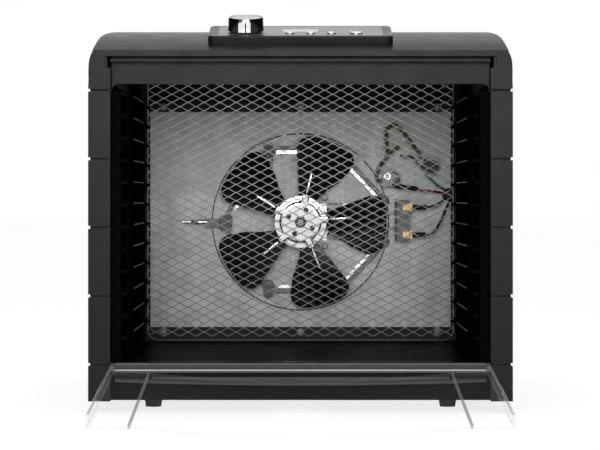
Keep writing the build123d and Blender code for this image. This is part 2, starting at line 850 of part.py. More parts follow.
def motor_bracket(y0):
    """Cross plate that holds one bearing; arms reach the four motor screws."""
    y1 = y0 + bracket_thick
    plate = span(-motor_screw_place - 4, motor_screw_place + 1.9, y0, y1, -motor_screw_place - 4,
                 motor_screw_place + 4)
    plate = fillet(plate.edges().filter_by(Axis.Y), 2.0)
    plate += rod_y(bearing_radius + 2, y0 - bearing_proud, y1 + bearing_proud)
    plate -= rod_y(bearing_radius, y0 - 3, y1 + 3)
    for x, z in motor_screw_places:
        plate -= rod_y(motor_screw_radius, y0 - 1, y1 + 1, x, z)
    return fan_at * plate


def motor_bearings():
    """Two bronze bushes."""
    rings = []
    for y0 in (front_bracket_y, rear_bracket_y):
        y1 = y0 + bracket_thick
        ring = rod_y(bearing_radius, y0 - bearing_proud, y1 + bearing_proud)
        rings.append(fan_at * (ring - rod_y(shaft_radius + running_clearance, y0 - 2, y1 + 2)))
    return rings


def motor_screws():
    """Four long screws with nuts that hold motor and plate together."""
    screws = []
    back = rear_bracket_y + bracket_thick
    for x, z in motor_screw_places:
        shank = rod_y(motor_screw_radius, plate_front, back + motor_nut_thick + 0.9, x, z)
        head = rod_y(motor_screw_head, plate_front - 1.8, plate_front, x, z)
        head = fillet(head.edges().filter_by(GeomType.CIRCLE).sort_by(Axis.Y)[0], 0.8)
        nut = hexagon_y(motor_nut_across, back, back + motor_nut_thick, x, z)
        screws.append(fan_at * (shank + head + nut))
    return screws


def motor_spacers():
    """Tubes between the plate and the brackets."""
    tubes = []
    for x, z in motor_screw_places:
        for y0, y1 in ((plate_back, front_bracket_y), (front_bracket_y + bracket_thick, rear_bracket_y)):
            tube = rod_y(motor_screw_radius + spacer_wall, y0, y1, x, z)
            tubes.append(fan_at * (tube - rod_y(motor_screw_radius, y0 - 1, y1 + 1, x, z)))
    return tubes


def heater_coil():
    """Heating wire as the tube that its close coils fill, with a straight lead from each end."""
    run = [heater_end, *heater_corners[3:], *heater_corners[:3], heater_start]
    points = [(x, heater_y, z) for x, z in run]
    path = FilletPolyline(*points, radius=[heater_bend] * (len(points) - 2))
    section = Plane(origin=path @ 0, z_dir=path % 0) * Circle(heater_radius)
    ring = sweep(section, path=path)
    leads = []
    for x, z in (heater_start, heater_end):
        lead = span(x + heater_radius + 0.1, lead_end_x, heater_y - lead_half, heater_y + lead_half,
                    z - lead_half, z + lead_half)
        leads.append(fan_at * lead)
    return [fan_at * ring, *leads]


def heater_supports():
    """Ceramic blocks that hold the heating wire clear of the plate, with a cheek inside each corner."""
    posts = []
    for x, z in heater_corners:
        angle = atan2(z, x)
        turn = Rot(Y=-degrees(angle))
        seat_y0 = heater_y + heater_radius
        seat = Pos(x - seat_shift * cos(angle), (seat_y0 + plate_front) / 2, z - seat_shift * sin(angle))
        seat = seat * turn * Box(seat_width, plate_front - seat_y0, seat_height)
        inward = heater_radius + 5.0
        cheek_at = Pos(x - inward * cos(angle), heater_y + 1.0, z - inward * sin(angle))
        cheek = cheek_at * turn * Box(*cheek_size)
        posts.append(fan_at * (seat + cheek) - plate_ring(fit_gap))
    return posts


def heater_terminal_plate():
    """Angle bracket with an insulating board that carries the terminals."""
    fin = span(terminal_x - terminal_wall / 2, terminal_x + terminal_wall / 2, mica_front - 1, plate_front,
               terminal_low, terminal_high)
    board = span(terminal_x, terminal_x + mica_reach, mica_front, mica_front + mica_thick, terminal_low + 1,
                 terminal_high - 1)
    x0 = terminal_x - mica_thick
    x1 = terminal_x + mica_thick
    for _, z in (heater_start, heater_end):
        slot = span(x0, x1, heater_y - lead_half, heater_y + lead_half, z - lead_half, z + lead_half)
        fin -= fan_at * slot
    return fin + board


def heater_terminals():
    """Two brass tabs screwed to the insulating board."""
    tabs = []
    for z in terminal_heights:
        x1 = tab_x + tab_half
        tab = span(tab_x - tab_half, x1, mica_front - 4.0, mica_front + 4.0, z - tab_height, z + tab_height)
        tab += span(tab_x - 8.0, x1, mica_front - 1.0, mica_front, z - 3.0, z + 3.0)
        tabs.append(tab)
    return tabs


def terminal_boots():
    """Insulating boots on the terminal tabs."""
    boots = []
    start = tab_x + tab_half
    for z, end in zip(terminal_heights, boot_ends):
        boots.append(Pos((start + end) / 2, boot_y, z) * Rot(Y=90) * Cylinder(boot_radius, end - start))
    return boots


def thermostat():
    """Bimetal disc thermostat on a light bracket."""
    x = thermostat_x
    y = thermostat_y
    z = thermostat_z
    behind = y + thermostat_sheet
    leg = span(x - 1, x + 5, y, plate_front, z - 11, z - 11 + thermostat_sheet)
    face = span(x - 5, x + 5, y, behind, z - 11, z + 7)
    can = rod_y(thermostat_can, behind, plate_front - 1.0, x + 6.0, z - 2.0)
    bracket = leg + face + can - rod_y(thermostat_rivet, y - 1, behind + 0.8, x, z)
    rivet = rod_y(3.4, y - 0.8, y, x, z)
    rivet += rod_y(2.4, y - 2.2, y - 0.7, x, z)
    rivet += rod_y(thermostat_rivet, y, y + 1.1, x, z)
    return [bracket, rivet]


def largest_radii(points):
    """Largest arc that each inner corner of a route leaves room for."""
    radii = []
    for before, here, after in zip(points, points[1:], points[2:]):
        first = Vector(*here) - Vector(*before)
        second = Vector(*after) - Vector(*here)
        turn = radians(first.get_angle(second))
        shorter = min(first.length, second.length)
        radii.append(arc_share * shorter / tan(turn / 2))
    return radii


def wire(points, radius):
    """A round wire along straight runs joined by tangent arcs."""
    path = FilletPolyline(*points, radius=largest_radii(points))
    section = Plane(origin=path @ 0, z_dir=path % 0) * Circle(radius)
    return sweep(section, path=path)


def wire_connector():
    """Black plug-in connector block that hangs in the wiring."""
    body = Box(16.0, 9.0, 12.0)
    body = fillet(body.edges().filter_by(Axis.Y), 1.2)
    return Pos(connector_x, connector_y, connector_z) * Rot(Y=connector_tilt) * body


def wire_grommet():
    """Rubber ring where the wires pass through the plate."""
    flange = grommet_neck + grommet_flange
    ring = rod_y(flange, plate_front - grommet_lip, plate_front, grommet_x, grommet_z)
    ring += rod_y(grommet_neck, plate_front, plate_back, grommet_x, grommet_z)
    return ring + rod_y(flange, plate_back, plate_back + grommet_lip, grommet_x, grommet_z)


def rear_cover():
    """Back panel with a louvred housing over the motor."""
    side = opening_half - fit_gap
    y0 = body_depth - shell_wall
    high = cover_low - fit_gap
    cover = span(-side, side, y0, body_depth, foot_height, high)
    housing_back = body_depth + housing_depth
    housing = span(-housing_half, housing_half, body_depth, housing_back, housing_low, housing_high)
    housing = fillet(housing.edges().filter_by(Axis.Y), housing_corner)
    housing = fillet(housing.faces().sort_by(Axis.Y)[-1].edges(), housing_edge)
    cover += housing
    wall = shell_wall
    inner = span(-housing_half + wall, housing_half - wall, y0 - 1, housing_back - wall,
                 housing_low + wall, housing_high - wall)
    cover -= fillet(inner.edges().filter_by(Axis.Y), housing_corner - 2.0)
    middle = (housing_low + housing_high) / 2
    for k in range(louvre_count):
        z = middle + (k - (louvre_count - 1) / 2) * louvre_pitch
        for x in louvre_places:
            slot = SlotOverall(louvre_width, louvre_height)
            cover -= Pos(x, 0, z) * along_y(slot, housing_back - wall - 2, housing_back + 1)
    cover -= rod_y(gland_neck, y0 - 1, body_depth + 1, gland_x, gland_z)
    return drilled(cover)


def rear_cover_screws():
    """Six screws in the back panel."""
    screws = []
    for x, z in cover_screw_places:
        head = rod_y(cover_screw_head, body_depth, body_depth + 2.0, x, z)
        head = fillet(head.edges().filter_by(GeomType.CIRCLE).sort_by(Axis.Y)[-1], 0.8)
        screws.append(head + rod_y(cover_screw_radius, body_depth - 8.0, body_depth, x, z))
    return screws


def cord_gland():
    """Flanged bush for the supply lead, empty here."""
    inside = body_depth - shell_wall - gland_inside
    flange = gland_neck + gland_flange
    bush = rod_y(gland_neck, body_depth - shell_wall, body_depth, gland_x, gland_z)
    bush += rod_y(flange, inside, body_depth - shell_wall, gland_x, gland_z)
    bush += rod_y(flange, body_depth, inside + gland_length, gland_x, gland_z)
    return bush - rod_y(gland_bore, inside - 1, inside + gland_length + 1, gland_x, gland_z)


# ---- door, drawn level with its hinge line at the origin, its inside facing up
def door_curve(offset):
    """Cross line of the clear panel: flat borders and a bowed middle, by depth below the hinge line."""
    inner = door_half - door_border
    z = -door_face + offset
    return [Line((-door_half, z), (-inner, z)),
            ThreePointArc((-inner, z), (0, z - door_bow), (inner, z)),
            Line((inner, z), (door_half, z))]


def door_window():
    """Clear moulded panel with side flanges, a finger lip at its free end and room for the rail."""
    low = door_curve(0.0)
    high = door_curve(door_wall)
    closing = [Line((door_half, -door_face), (door_half, -door_face + door_wall)),
               Line((-door_half, -door_face), (-door_half, -door_face + door_wall))]
    section = make_face([edge for part in (*low, *high, *closing) for edge in part.edges()])
    sheet = along_y(section, -door_reach, -rail_web / 2)
    top = -door_face + flange_height
    flange = span(door_half - door_wall, door_half, -door_reach, -rail_web / 2, -door_face, top)
    sheet += flange + mirrored(flange)
    lip_top = top - finger_lip_drop
    sheet += span(-door_half, door_half, -door_reach, -door_reach + door_wall, -door_face, lip_top)
    return sheet - Rot(Y=90) * Cylinder(roll_radius + roll_gap, 3 * door_half)


def door_hinge_rail():
    """Rolled rail along the hinge line with a bowed lower bead and end tabs."""
    end = door_half
    inside = door_half - door_wall - rail_end_gap
    roll = Rot(Y=90) * Cylinder(roll_radius, 2 * inside)
    low = -rail_low
    web = [Line((-inside, 0), (inside, 0)), Line((inside, 0), (inside, low)),
           ThreePointArc((inside, low), (0, low - rail_bow), (-inside, low)),
           Line((-inside, low), (-inside, 0))]
    plate = along_y(make_face([e for part in web for e in part.edges()]), -rail_web / 2, rail_web / 2)
    beads = plate.edges().filter_by(lambda e: e.center().Z < low + 0.5 and e.length > door_half)
    plate = fillet(beads, rail_round)
    rail = roll + plate
    for sign in (-1, 1):
        tab = Rot(Y=90) * Cylinder(roll_radius - tab_step, end - inside)
        pin = Rot(Y=90) * Cylinder(pin_radius, pin_reach + 0.25)
        rail += Pos(sign * (end + inside) / 2, 0, 0) * tab
        rail += Pos(sign * (end + pin_reach / 2), 0, 0) * pin
    return rail


side_right = side_panel()
rack_right = rack_panel()
pieces = {
    "base_pan": base_pan(),
    "right_side_panel": side_right,
    "left_side_panel": mirrored(side_right),
    "top_cover": top_cover(),
    "front_header": front_header(),
    "ceiling_liner": ceiling_liner(),
    "right_rack_panel": rack_right,
    "left_rack_panel": mirrored(rack_right),
    "mesh_screen": mesh_screen_drilled(),
    "mesh_frame": mesh_frame(),
    "mesh_screws": mesh_screws(),
    "baffle_plate": baffle_plate(),
    "plate_screws": plate_screws(),
    "heater_coil": heater_coil(),
    "heater_supports": heater_supports(),
    "heater_terminal_plate": heater_terminal_plate(),
    "heater_terminals": heater_terminals(),
    "terminal_boots": terminal_boots(),
    "thermostat": thermostat(),
    "fuse_sleeve": wire(fuse_route, sleeve_radius),
    "brown_wire_sleeve": wire(brown_route, sleeve_radius),
    "black_wires": [wire(black_upper_route, wire_radius), wire(black_lower_route, wire_radius),
                    wire(black_link_route, wire_radius)],
    "blue_wire": wire(blue_route, wire_radius),
    "red_wire": wire(red_route, wire_radius),
    "wire_connector": wire_connector(),
    "wire_grommet": wire_grommet(),
    "wire_loom": wire(loom_route, loom_radius),
    "motor_stator": motor_stator(),
    "motor_coil": motor_coil(),
    "motor_brackets": [motor_bracket(front_bracket_y), motor_bracket(rear_bracket_y)],
    "motor_bearings": motor_bearings(),
    "spacer_tubes": [*motor_spacers(), *plate_posts()],
    "motor_screws": motor_screws(),
    "motor_rotor": motor_rotor(),
    "motor_shaft": motor_shaft(),
    "fan_wheel": fan_wheel(),
    "fan_collar": fan_collar(),
    "fan_rivets": fan_rivets(),
    "fan_nut": fan_nut(),
    "rear_cover": rear_cover(),
    "rear_cover_screws": rear_cover_screws(),
    "cord_gland": cord_gland(),
    "rubber_feet": rubber_feet(),
    "panel_bezel": panel_bezel(),
    "panel_faceplate": panel_faceplate(),
    "display_lens": display_lens(),
    "display_module": display_module(),
    "control_board": control_board(),
    "board_screws": board_screws(),
    "button_switches": button_switches(),
    "encoder_body": encoder_body(),
    "encoder_shaft": encoder_shaft(),
    "knob_cap": knob_cap(),
    "left_button": key(button_x[0], button_radius),
    "middle_button": key(button_x[1], button_radius),
    "right_button": key(button_x[2], button_radius),
    "power_button": key(power_x, power_radius),
    "door_window": hang * door_window(),
    "door_hinge_rail": hang * door_hinge_rail(),
}


def solids_of(piece):
    """The solids of a piece, which may be one shape or a list of shapes."""
    shapes = piece if isinstance(piece, list) else [piece]
    return [solid for shape in shapes for solid in shape.solids()]


os.makedirs("parts", exist_ok=True)
every_solid = {name: solids_of(piece) for name, piece in pieces.items()}
boxes = [solid.bounding_box() for group in every_solid.values() for solid in group]
front_end = min(box.min.Y for box in boxes)
back_end = max(box.max.Y for box in boxes)
origin_shift = Pos(0, -(front_end + back_end) / 2, 0)
for name, group in every_solid.items():
    moved = [origin_shift * solid for solid in group]
    shape = moved[0] if len(moved) == 1 else Compound(children=moved)
    export_step(shape, f"parts/{name}.step")
print("origin shift along Y:", round(-(front_end + back_end) / 2, 4))
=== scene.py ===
"""Looks of the countertop food dehydrator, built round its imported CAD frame.

Units are metres; mm turns millimetres into them. X is to the right, Y to the back, Z up.
"""
import json
from math import atan2, ceil, cos, degrees, hypot, pi, radians, sin, sqrt, tan

import bmesh
import bpy
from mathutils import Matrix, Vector


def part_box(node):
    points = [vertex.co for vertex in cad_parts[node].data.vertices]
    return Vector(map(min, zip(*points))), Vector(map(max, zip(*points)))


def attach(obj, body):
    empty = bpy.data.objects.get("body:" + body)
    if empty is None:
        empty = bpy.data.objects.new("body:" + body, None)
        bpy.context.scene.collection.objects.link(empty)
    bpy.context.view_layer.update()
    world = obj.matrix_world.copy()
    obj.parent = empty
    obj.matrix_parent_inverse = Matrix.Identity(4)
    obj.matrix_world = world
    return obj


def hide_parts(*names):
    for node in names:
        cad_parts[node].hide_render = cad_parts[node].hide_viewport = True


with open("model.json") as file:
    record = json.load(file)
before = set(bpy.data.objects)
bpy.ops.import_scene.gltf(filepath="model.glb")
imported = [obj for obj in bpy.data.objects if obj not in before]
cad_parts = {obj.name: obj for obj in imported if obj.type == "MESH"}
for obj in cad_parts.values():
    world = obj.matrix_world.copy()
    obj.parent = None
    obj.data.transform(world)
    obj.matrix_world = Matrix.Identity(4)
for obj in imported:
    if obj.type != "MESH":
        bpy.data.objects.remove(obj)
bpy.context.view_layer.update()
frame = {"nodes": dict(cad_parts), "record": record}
nodes = frame["nodes"]
mm = 0.001

# ---- places, all read from the frame
front_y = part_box("left_side_panel")[0].y
nut_low, nut_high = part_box("fan_nut")
fan_x = (nut_low.x + nut_high.x) / 2
fan_z = (nut_low.z + nut_high.z) / 2
hub_y = nut_high.y
screen_low, screen_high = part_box("mesh_screen")


def cad_y(depth):
    """Y of a depth behind the pillar fronts, given in millimetres."""
    return front_y + depth * mm


# ---- material building
class Shader:
    """A node material under construction."""

    def __init__(self, name):
        self.material = bpy.data.materials.new(name)
        self.material.use_nodes = True
        self.tree = self.material.node_tree
        self.tree.nodes.clear()
        self.output = self.add("ShaderNodeOutputMaterial")
        self.surface = self.add("ShaderNodeBsdfPrincipled")
        self.link(self.surface, "BSDF", self.output, "Surface")
        self.coords = self.add("ShaderNodeTexCoord")

    def add(self, kind, **inputs):
        node = self.tree.nodes.new(kind)
        for name, value in inputs.items():
            key = name.replace("_", " ")
            if key in node.inputs:
                node.inputs[key].default_value = value
            else:
                setattr(node, name, value)
        return node

    def link(self, source, output, target, socket):
        self.tree.links.new(source.outputs[output], target.inputs[socket])

    def set(self, **inputs):
        for name, value in inputs.items():
            self.surface.inputs[name.replace("_", " ")].default_value = value
        return self

    def noise(self, scale, detail=4.0, roughness=0.55, stretch=None):
        texture = self.add("ShaderNodeTexNoise", Scale=scale, Detail=detail, Roughness=roughness)
        if stretch:
            mapping = self.add("ShaderNodeMapping")
            mapping.inputs["Scale"].default_value = stretch
            self.link(self.coords, "Object", mapping, "Vector")
            self.link(mapping, "Vector", texture, "Vector")
        else:
            self.link(self.coords, "Object", texture, "Vector")
        return texture

    def ramp(self, source, output, stops):
        ramp = self.add("ShaderNodeValToRGB")
        elements = ramp.color_ramp.elements
        elements[0].position, elements[0].color = stops[0][0], (*stops[0][1], 1.0)
        elements[1].position, elements[1].color = stops[-1][0], (*stops[-1][1], 1.0)
        for place, colour in stops[1:-1]:
            elements.new(place).color = (*colour, 1.0)
        self.link(source, output, ramp, "Fac")
        return ramp

    def spread(self, source, output, low, high):
        span = self.add("ShaderNodeMapRange")
        span.inputs["To Min"].default_value = low
        span.inputs["To Max"].default_value = high
        self.link(source, output, span, "Value")
        return span

    def bump(self, source, output, strength, distance):
        node = self.add("ShaderNodeBump", Strength=strength, Distance=distance)
        self.link(source, output, node, "Height")
        if self.surface.inputs["Normal"].is_linked:
            before = self.surface.inputs["Normal"].links[0].from_node
            self.link(before, "Normal", node, "Normal")
        self.link(node, "Normal", self.surface, "Normal")
        return node


def moulded(name, colour, roughness=0.42, grain=2600.0, depth=0.00006, mottle=0.12, coat=0.0,
            shine=0.4):
    """Injection-moulded plastic: fine spark-eroded grain, faint cloudy sheen and colour drift."""
    s = Shader(name)
    s.set(Coat_Weight=coat, Coat_Roughness=0.08, Specular_IOR_Level=shine)
    cloud = s.noise(14.0, 5.0)
    low = tuple(c * (1 - mottle) for c in colour)
    high = tuple(min(1.0, c * (1 + mottle)) for c in colour)
    s.link(s.ramp(cloud, "Fac", [(0.3, low), (0.7, high)]), "Color", s.surface, "Base Color")
    smear = s.noise(45.0, 6.0)
    s.link(s.spread(smear, "Fac", roughness - 0.07, roughness + 0.07), "Result", s.surface, "Roughness")
    s.bump(s.noise(grain, 2.0), "Fac", 0.35, depth)
    return s.material


def metal(name, colour, roughness=0.3, brush=None, dull=0.08, bump=0.00002, metallic=1.0, blotch=60.0):
    """Metal with brushed or rolled streaks, slight tarnish and uneven polish."""
    s = Shader(name)
    s.set(Metallic=metallic)
    stain = s.noise(blotch, 6.0)
    low = tuple(c * (1 - dull) for c in colour)
    high = tuple(min(1.0, c * (1 + dull)) for c in colour)
    s.link(s.ramp(stain, "Fac", [(0.32, low), (0.68, high)]), "Color", s.surface, "Base Color")
    streak = s.noise(500.0, 3.0, stretch=brush or (1.0, 1.0, 1.0))
    s.link(s.spread(streak, "Fac", roughness * 0.75, roughness * 1.3), "Result", s.surface, "Roughness")
    s.bump(streak, "Fac", 0.3, bump)
    return s.material


def clear_plastic(name, colour, alpha, roughness=0.05, shine=0.4):
    """Clear moulded sheet: a faint tint with flow ripples in its gloss."""
    s = Shader(name)
    s.set(Alpha=alpha, Specular_IOR_Level=shine)
    tint = s.noise(6.0, 3.0)
    low = tuple(c * 0.97 for c in colour)
    s.link(s.ramp(tint, "Fac", [(0.3, low), (0.7, colour)]), "Color", s.surface, "Base Color")
    haze = s.noise(30.0, 3.0)
    s.link(s.spread(haze, "Fac", roughness * 0.5, roughness * 1.5), "Result", s.surface, "Roughness")
    s.bump(s.noise(9.0, 2.0), "Fac", 0.05, 0.0004)
    return s.material


def braid(name, colour, fleck_colour):
    """Woven glass sleeve: flecked yarn over the woven geometry."""
    s = Shader(name)
    s.set(Sheen_Weight=0.3, Sheen_Roughness=0.5, Roughness=0.75)
    fleck = s.noise(420.0, 3.0)
    s.link(s.ramp(fleck, "Fac", [(0.38, fleck_colour), (0.58, colour)]), "Color", s.surface, "Base Color")
    s.bump(s.noise(2400.0, 2.0), "Fac", 0.5, 0.0001)
    return s.material


materials = {
    "shell_black": moulded("shell_black", (0.0064, 0.0057, 0.0054), 0.33, shine=0.165),
    "header_grey": moulded("header_grey", (0.0056, 0.0055, 0.0053), 0.36, shine=0.165),
    "chamber_black": moulded("chamber_black", (0.005, 0.0038, 0.004), 0.3, shine=0.0),
    "base_black": moulded("base_black", (0.0026, 0.0026, 0.0026), 0.4, shine=0.002),
    "feet_rubber": moulded("feet_rubber", (0.006, 0.006, 0.006), 0.7, grain=1500.0, shine=0.2),
    "screen_steel": metal("screen_steel", (0.46, 0.47, 0.46), 0.42, metallic=0.9),
    "frame_dark": moulded("frame_dark", (0.004, 0.004, 0.004), 0.5, shine=0.25),
    "plate_zinc": metal("plate_zinc", (0.62, 0.64, 0.625), 0.5, brush=(1.0, 1.0, 0.06), metallic=0.5,
                        dull=0.14),
    "screw_steel": metal("screw_steel", (0.13, 0.13, 0.125), 0.3),
    "fan_aluminium": metal("fan_aluminium", (0.7, 0.71, 0.72), 0.07, brush=(0.2, 1.0, 1.0)),
    "shaft_steel": metal("shaft_steel", (0.17, 0.17, 0.17), 0.4),
    "nut_dark": metal("nut_dark", (0.035, 0.035, 0.035), 0.4),
    "lamination_steel": metal("lamination_steel", (0.28, 0.28, 0.3), 0.45, brush=(0.05, 1.0, 0.05)),
    "copper_winding": metal("copper_winding", (0.9, 0.45, 0.1), 0.35, metallic=0.5),
    "bronze": metal("bronze", (0.55, 0.38, 0.18), 0.45),
    "heater_wire": metal("heater_wire", (0.9, 0.9, 0.88), 0.35, metallic=0.35),
    "ceramic_grey": moulded("ceramic_grey", (0.2, 0.2, 0.19), 0.6, grain=1200.0, depth=0.0001),
    "mica_board": moulded("mica_board", (0.09, 0.09, 0.085), 0.45, grain=600.0, mottle=0.35),
    "terminal_brass": metal("terminal_brass", (0.36, 0.26, 0.13), 0.3),
    "boot_black": moulded("boot_black", (0.006, 0.006, 0.006), 0.5),
    "bracket_zinc": metal("bracket_zinc", (0.78, 0.77, 0.72), 0.34),
    "fuse_grey": braid("fuse_grey", (0.24, 0.24, 0.22), (0.05, 0.05, 0.045)),
    "sleeve_brown": braid("sleeve_brown", (0.3, 0.17, 0.06), (0.04, 0.02, 0.01)),
    "wire_black": moulded("wire_black", (0.007, 0.007, 0.007), 0.38),
    "wire_blue": moulded("wire_blue", (0.06, 0.26, 0.36), 0.38),
    "wire_red": moulded("wire_red", (0.4, 0.02, 0.015), 0.38),
    "connector_black": moulded("connector_black", (0.008, 0.008, 0.009), 0.35),
    "bezel_dark": moulded("bezel_dark", (0.009, 0.009, 0.0105), 0.3, shine=0.2),
    "faceplate_silver": metal("faceplate_silver", (0.36, 0.38, 0.385), 0.38, brush=(0.03, 1.0, 1.0)),
    "display_dark": moulded("display_dark", (0.02, 0.022, 0.025), 0.12, coat=0.8),
    "module_green": moulded("module_green", (0.15, 0.2, 0.15), 0.5),
    "board_green": moulded("board_green", (0.02, 0.14, 0.05), 0.4),
    "switch_black": moulded("switch_black", (0.02, 0.02, 0.02), 0.4),
    "knob_chrome": metal("knob_chrome", (0.86, 0.87, 0.88), 0.06),
    "button_grey": metal("button_grey", (0.7, 0.71, 0.72), 0.14),
    "door_clear": clear_plastic("door_clear", (0.9, 0.95, 0.97), 0.018, shine=0.15),
    "rail_black": moulded("rail_black", (0.014, 0.014, 0.0155), 0.24, depth=0.00002, coat=1.0),
}
# Dark copy of the fan aluminium for the blades: painted dark reflection.
blade_dark_reflection = metal("blade_aluminium_painted_dark", (0.2, 0.21, 0.2), 0.12, bump=0.000004)
reflector_finish = metal("reflector", (0.92, 0.92, 0.9), 0.1, bump=0.00001)
knob_top_finish = metal("knob_satin", (0.66, 0.72, 0.76), 0.35, brush=(1.0, 0.04, 1.0))
# Matte dark finish used as painted shade: in the rail's cove under its roll, and in the slat seam grooves.
matte_shade_finish = moulded("rail_cove_painted_shade", (0.012, 0.012, 0.012), 0.5, shine=0.03)
# Paler satin grey for the rail's bead: painted sheen, the same plastic as the rail.
bead_sheen_finish = moulded("rail_bead_painted_sheen", (0.035, 0.035, 0.037), 0.45, shine=0.3)
mark_finish = moulded("knob_mark", (0.02, 0.02, 0.02), 0.4)
# Grey, denser clear finish for the door's edges and crease: painted reflection lines.
door_edge_reflection_finish = clear_plastic("door_edge_painted_reflection", (0.3, 0.3, 0.31), 0.55, roughness=0.12)
# Paler, denser clear finish for the door's flanges: painted sheen.
door_flange_sheen_finish = clear_plastic("door_flange_painted_sheen", (0.6, 0.6, 0.6), 0.16, roughness=0.08)
board_finish = moulded("terminal_board", (0.30, 0.31, 0.29), 0.45, grain=600.0, mottle=0.25)
clip_finish = moulded("clip_grey", (0.2, 0.2, 0.195), 0.5, grain=900.0, mottle=0.2)
# Dark grey for the plate's pressed bead: painted shade on the zinc plate.
plate_bead_shade_finish = moulded("plate_bead_painted_shade", (0.06, 0.06, 0.06), 0.5)
# Pale finish for the rack rail strips: painted highlights on the rail edges.
rail_highlight_finish = moulded("rail_painted_highlight", (0.3, 0.29, 0.27), 0.5)
# Slightly paler, shinier black for the lips beside each slat seam: painted highlight.
seam_lip_painted_highlight = moulded("seam_lip_painted_highlight", (0.012, 0.011, 0.0105), 0.4, shine=0.2)
# Dark chrome for the knob's sides: painted dark reflection on the same chrome.
painted_dark_reflection_chrome = metal("painted_dark_reflection_chrome", (0.035, 0.028, 0.024), 0.12, bump=0.000003)
can_finish = metal("thermostat_can", (0.3, 0.31, 0.31), 0.5)

for part in frame["record"]["subparts"]:
    owner = nodes[part["node"]]
    owner.data.materials.clear()
    owner.data.materials.append(materials[part["material_slot"]])
nodes["fan_rivets"].data.materials[0] = materials["nut_dark"]


# ---- mesh building
def add_piece(name, verts, faces, slot, body, replaced=(), smooth=True, finishes=(), bands=None):
    """A mesh object that rides on a body; bands gives each face its finish number."""
    mesh = bpy.data.meshes.new(name)
    mesh.from_pydata([tuple(v) for v in verts], [], faces)
    mesh.validate()
    mesh.materials.append(materials[slot])
    for finish in finishes:
        mesh.materials.append(finish)
    for index, polygon in enumerate(mesh.polygons):
        polygon.use_smooth = smooth
        polygon.material_index = bands[index] if bands else 0
    obj = bpy.data.objects.new(name, mesh)
    bpy.context.scene.collection.objects.link(obj)
    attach(obj, body)
    if replaced:
        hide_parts(*replaced)
    return obj


def sharpen(obj, angle=35.0):
    """Keep edges sharper than an angle crisp under smooth shading."""
    mesh = obj.data
    work = bmesh.new()
    work.from_mesh(mesh)
    bmesh.ops.recalc_face_normals(work, faces=work.faces)
    for edge in work.edges:
        edge.smooth = len(edge.link_faces) == 2 and edge.calc_face_angle(0.0) < radians(angle)
    work.to_mesh(mesh)
    work.free()
    return obj


def rings_to_faces(count, around, first=0, closed=False):
    """Quads between rings of points; a closed run joins its last ring to the first."""
    faces = []
    for i in range(count if closed else count - 1):
        low = first + i * around
        high = first + ((i + 1) % count) * around
        for j in range(around):
            k = (j + 1) % around
            faces.append((low + j, low + k, high + k, high + j))
    return faces


def tube(points, radius_at, around=10, closed=False):
    """A tube along points; radius_at gets the ring number and the angle round it."""
    verts = []
    count = len(points)
    normal = None
    for i, here in enumerate(points):
        before = points[i - 1] if i or closed else here
        after = points[(i + 1) % count] if i < count - 1 or closed else here
        ahead = (after - before).normalized()
        if normal is None:
            normal = ahead.orthogonal().normalized()
        normal = (normal - ahead * normal.dot(ahead)).normalized()
        side = ahead.cross(normal)
        for j in range(around):
            turn = 2 * pi * j / around
            radius = radius_at(i, turn)
            verts.append(here + normal * (radius * cos(turn)) + side * (radius * sin(turn)))
    faces = rings_to_faces(count, around, closed=closed)
    if not closed:
        faces.append(tuple(reversed(range(around))))
        faces.append(tuple(range((count - 1) * around, count * around)))
    return verts, faces


def join(parts):
    """One vertex and face list out of several."""
    verts, faces = [], []
    for part_verts, part_faces in parts:
        first = len(verts)
        verts += list(part_verts)
        faces += [tuple(first + i for i in face) for face in part_faces]
    return verts, faces


def smooth_route(route, step):
    """Evenly spaced points on a smooth curve led by a route, in millimetres from the pillars."""
    data = bpy.data.curves.new("route", "CURVE")
    data.dimensions = "3D"
    spline = data.splines.new("NURBS")
    spline.points.add(len(route) - 1)
    for point, (x, y, z) in zip(spline.points, route):
        point.co = (x * mm, cad_y(y), z * mm, 1.0)
    spline.order_u = 3
    spline.use_endpoint_u = True
    spline.resolution_u = 24
    holder = bpy.data.objects.new("route", data)
    line = bpy.data.meshes.new_from_object(holder)
    raw = [v.co.copy() for v in line.vertices]
    bpy.data.objects.remove(holder)
    bpy.data.meshes.remove(line)
    bpy.data.curves.remove(data)
    return resample(raw, step)


def resample(raw, step):
    """Points a fixed step apart along a polyline."""
    total = sum((b - a).length for a, b in zip(raw, raw[1:]))
    count = max(2, ceil(total / step))
    points = [raw[0].copy()]
    travelled = 0.0
    wanted = total / count
    for a, b in zip(raw, raw[1:]):
        length = (b - a).length
        while length and wanted <= travelled + length + 1e-12 and len(points) < count + 1:
            points.append(a.lerp(b, (wanted - travelled) / length))
            wanted += total / count
        travelled += length
    return points


# ---- expanded metal screen: zigzag strands, twisted, that meet at knuckles
diamond_long = 15.3 * mm
diamond_short = 7.8 * mm
strand_width = 0.78 * mm
strand_thick = 0.8 * mm
strand_twist = radians(9.0)
knuckle = 1.5 * mm
screen_y = screen_low.y + 0.35 * mm


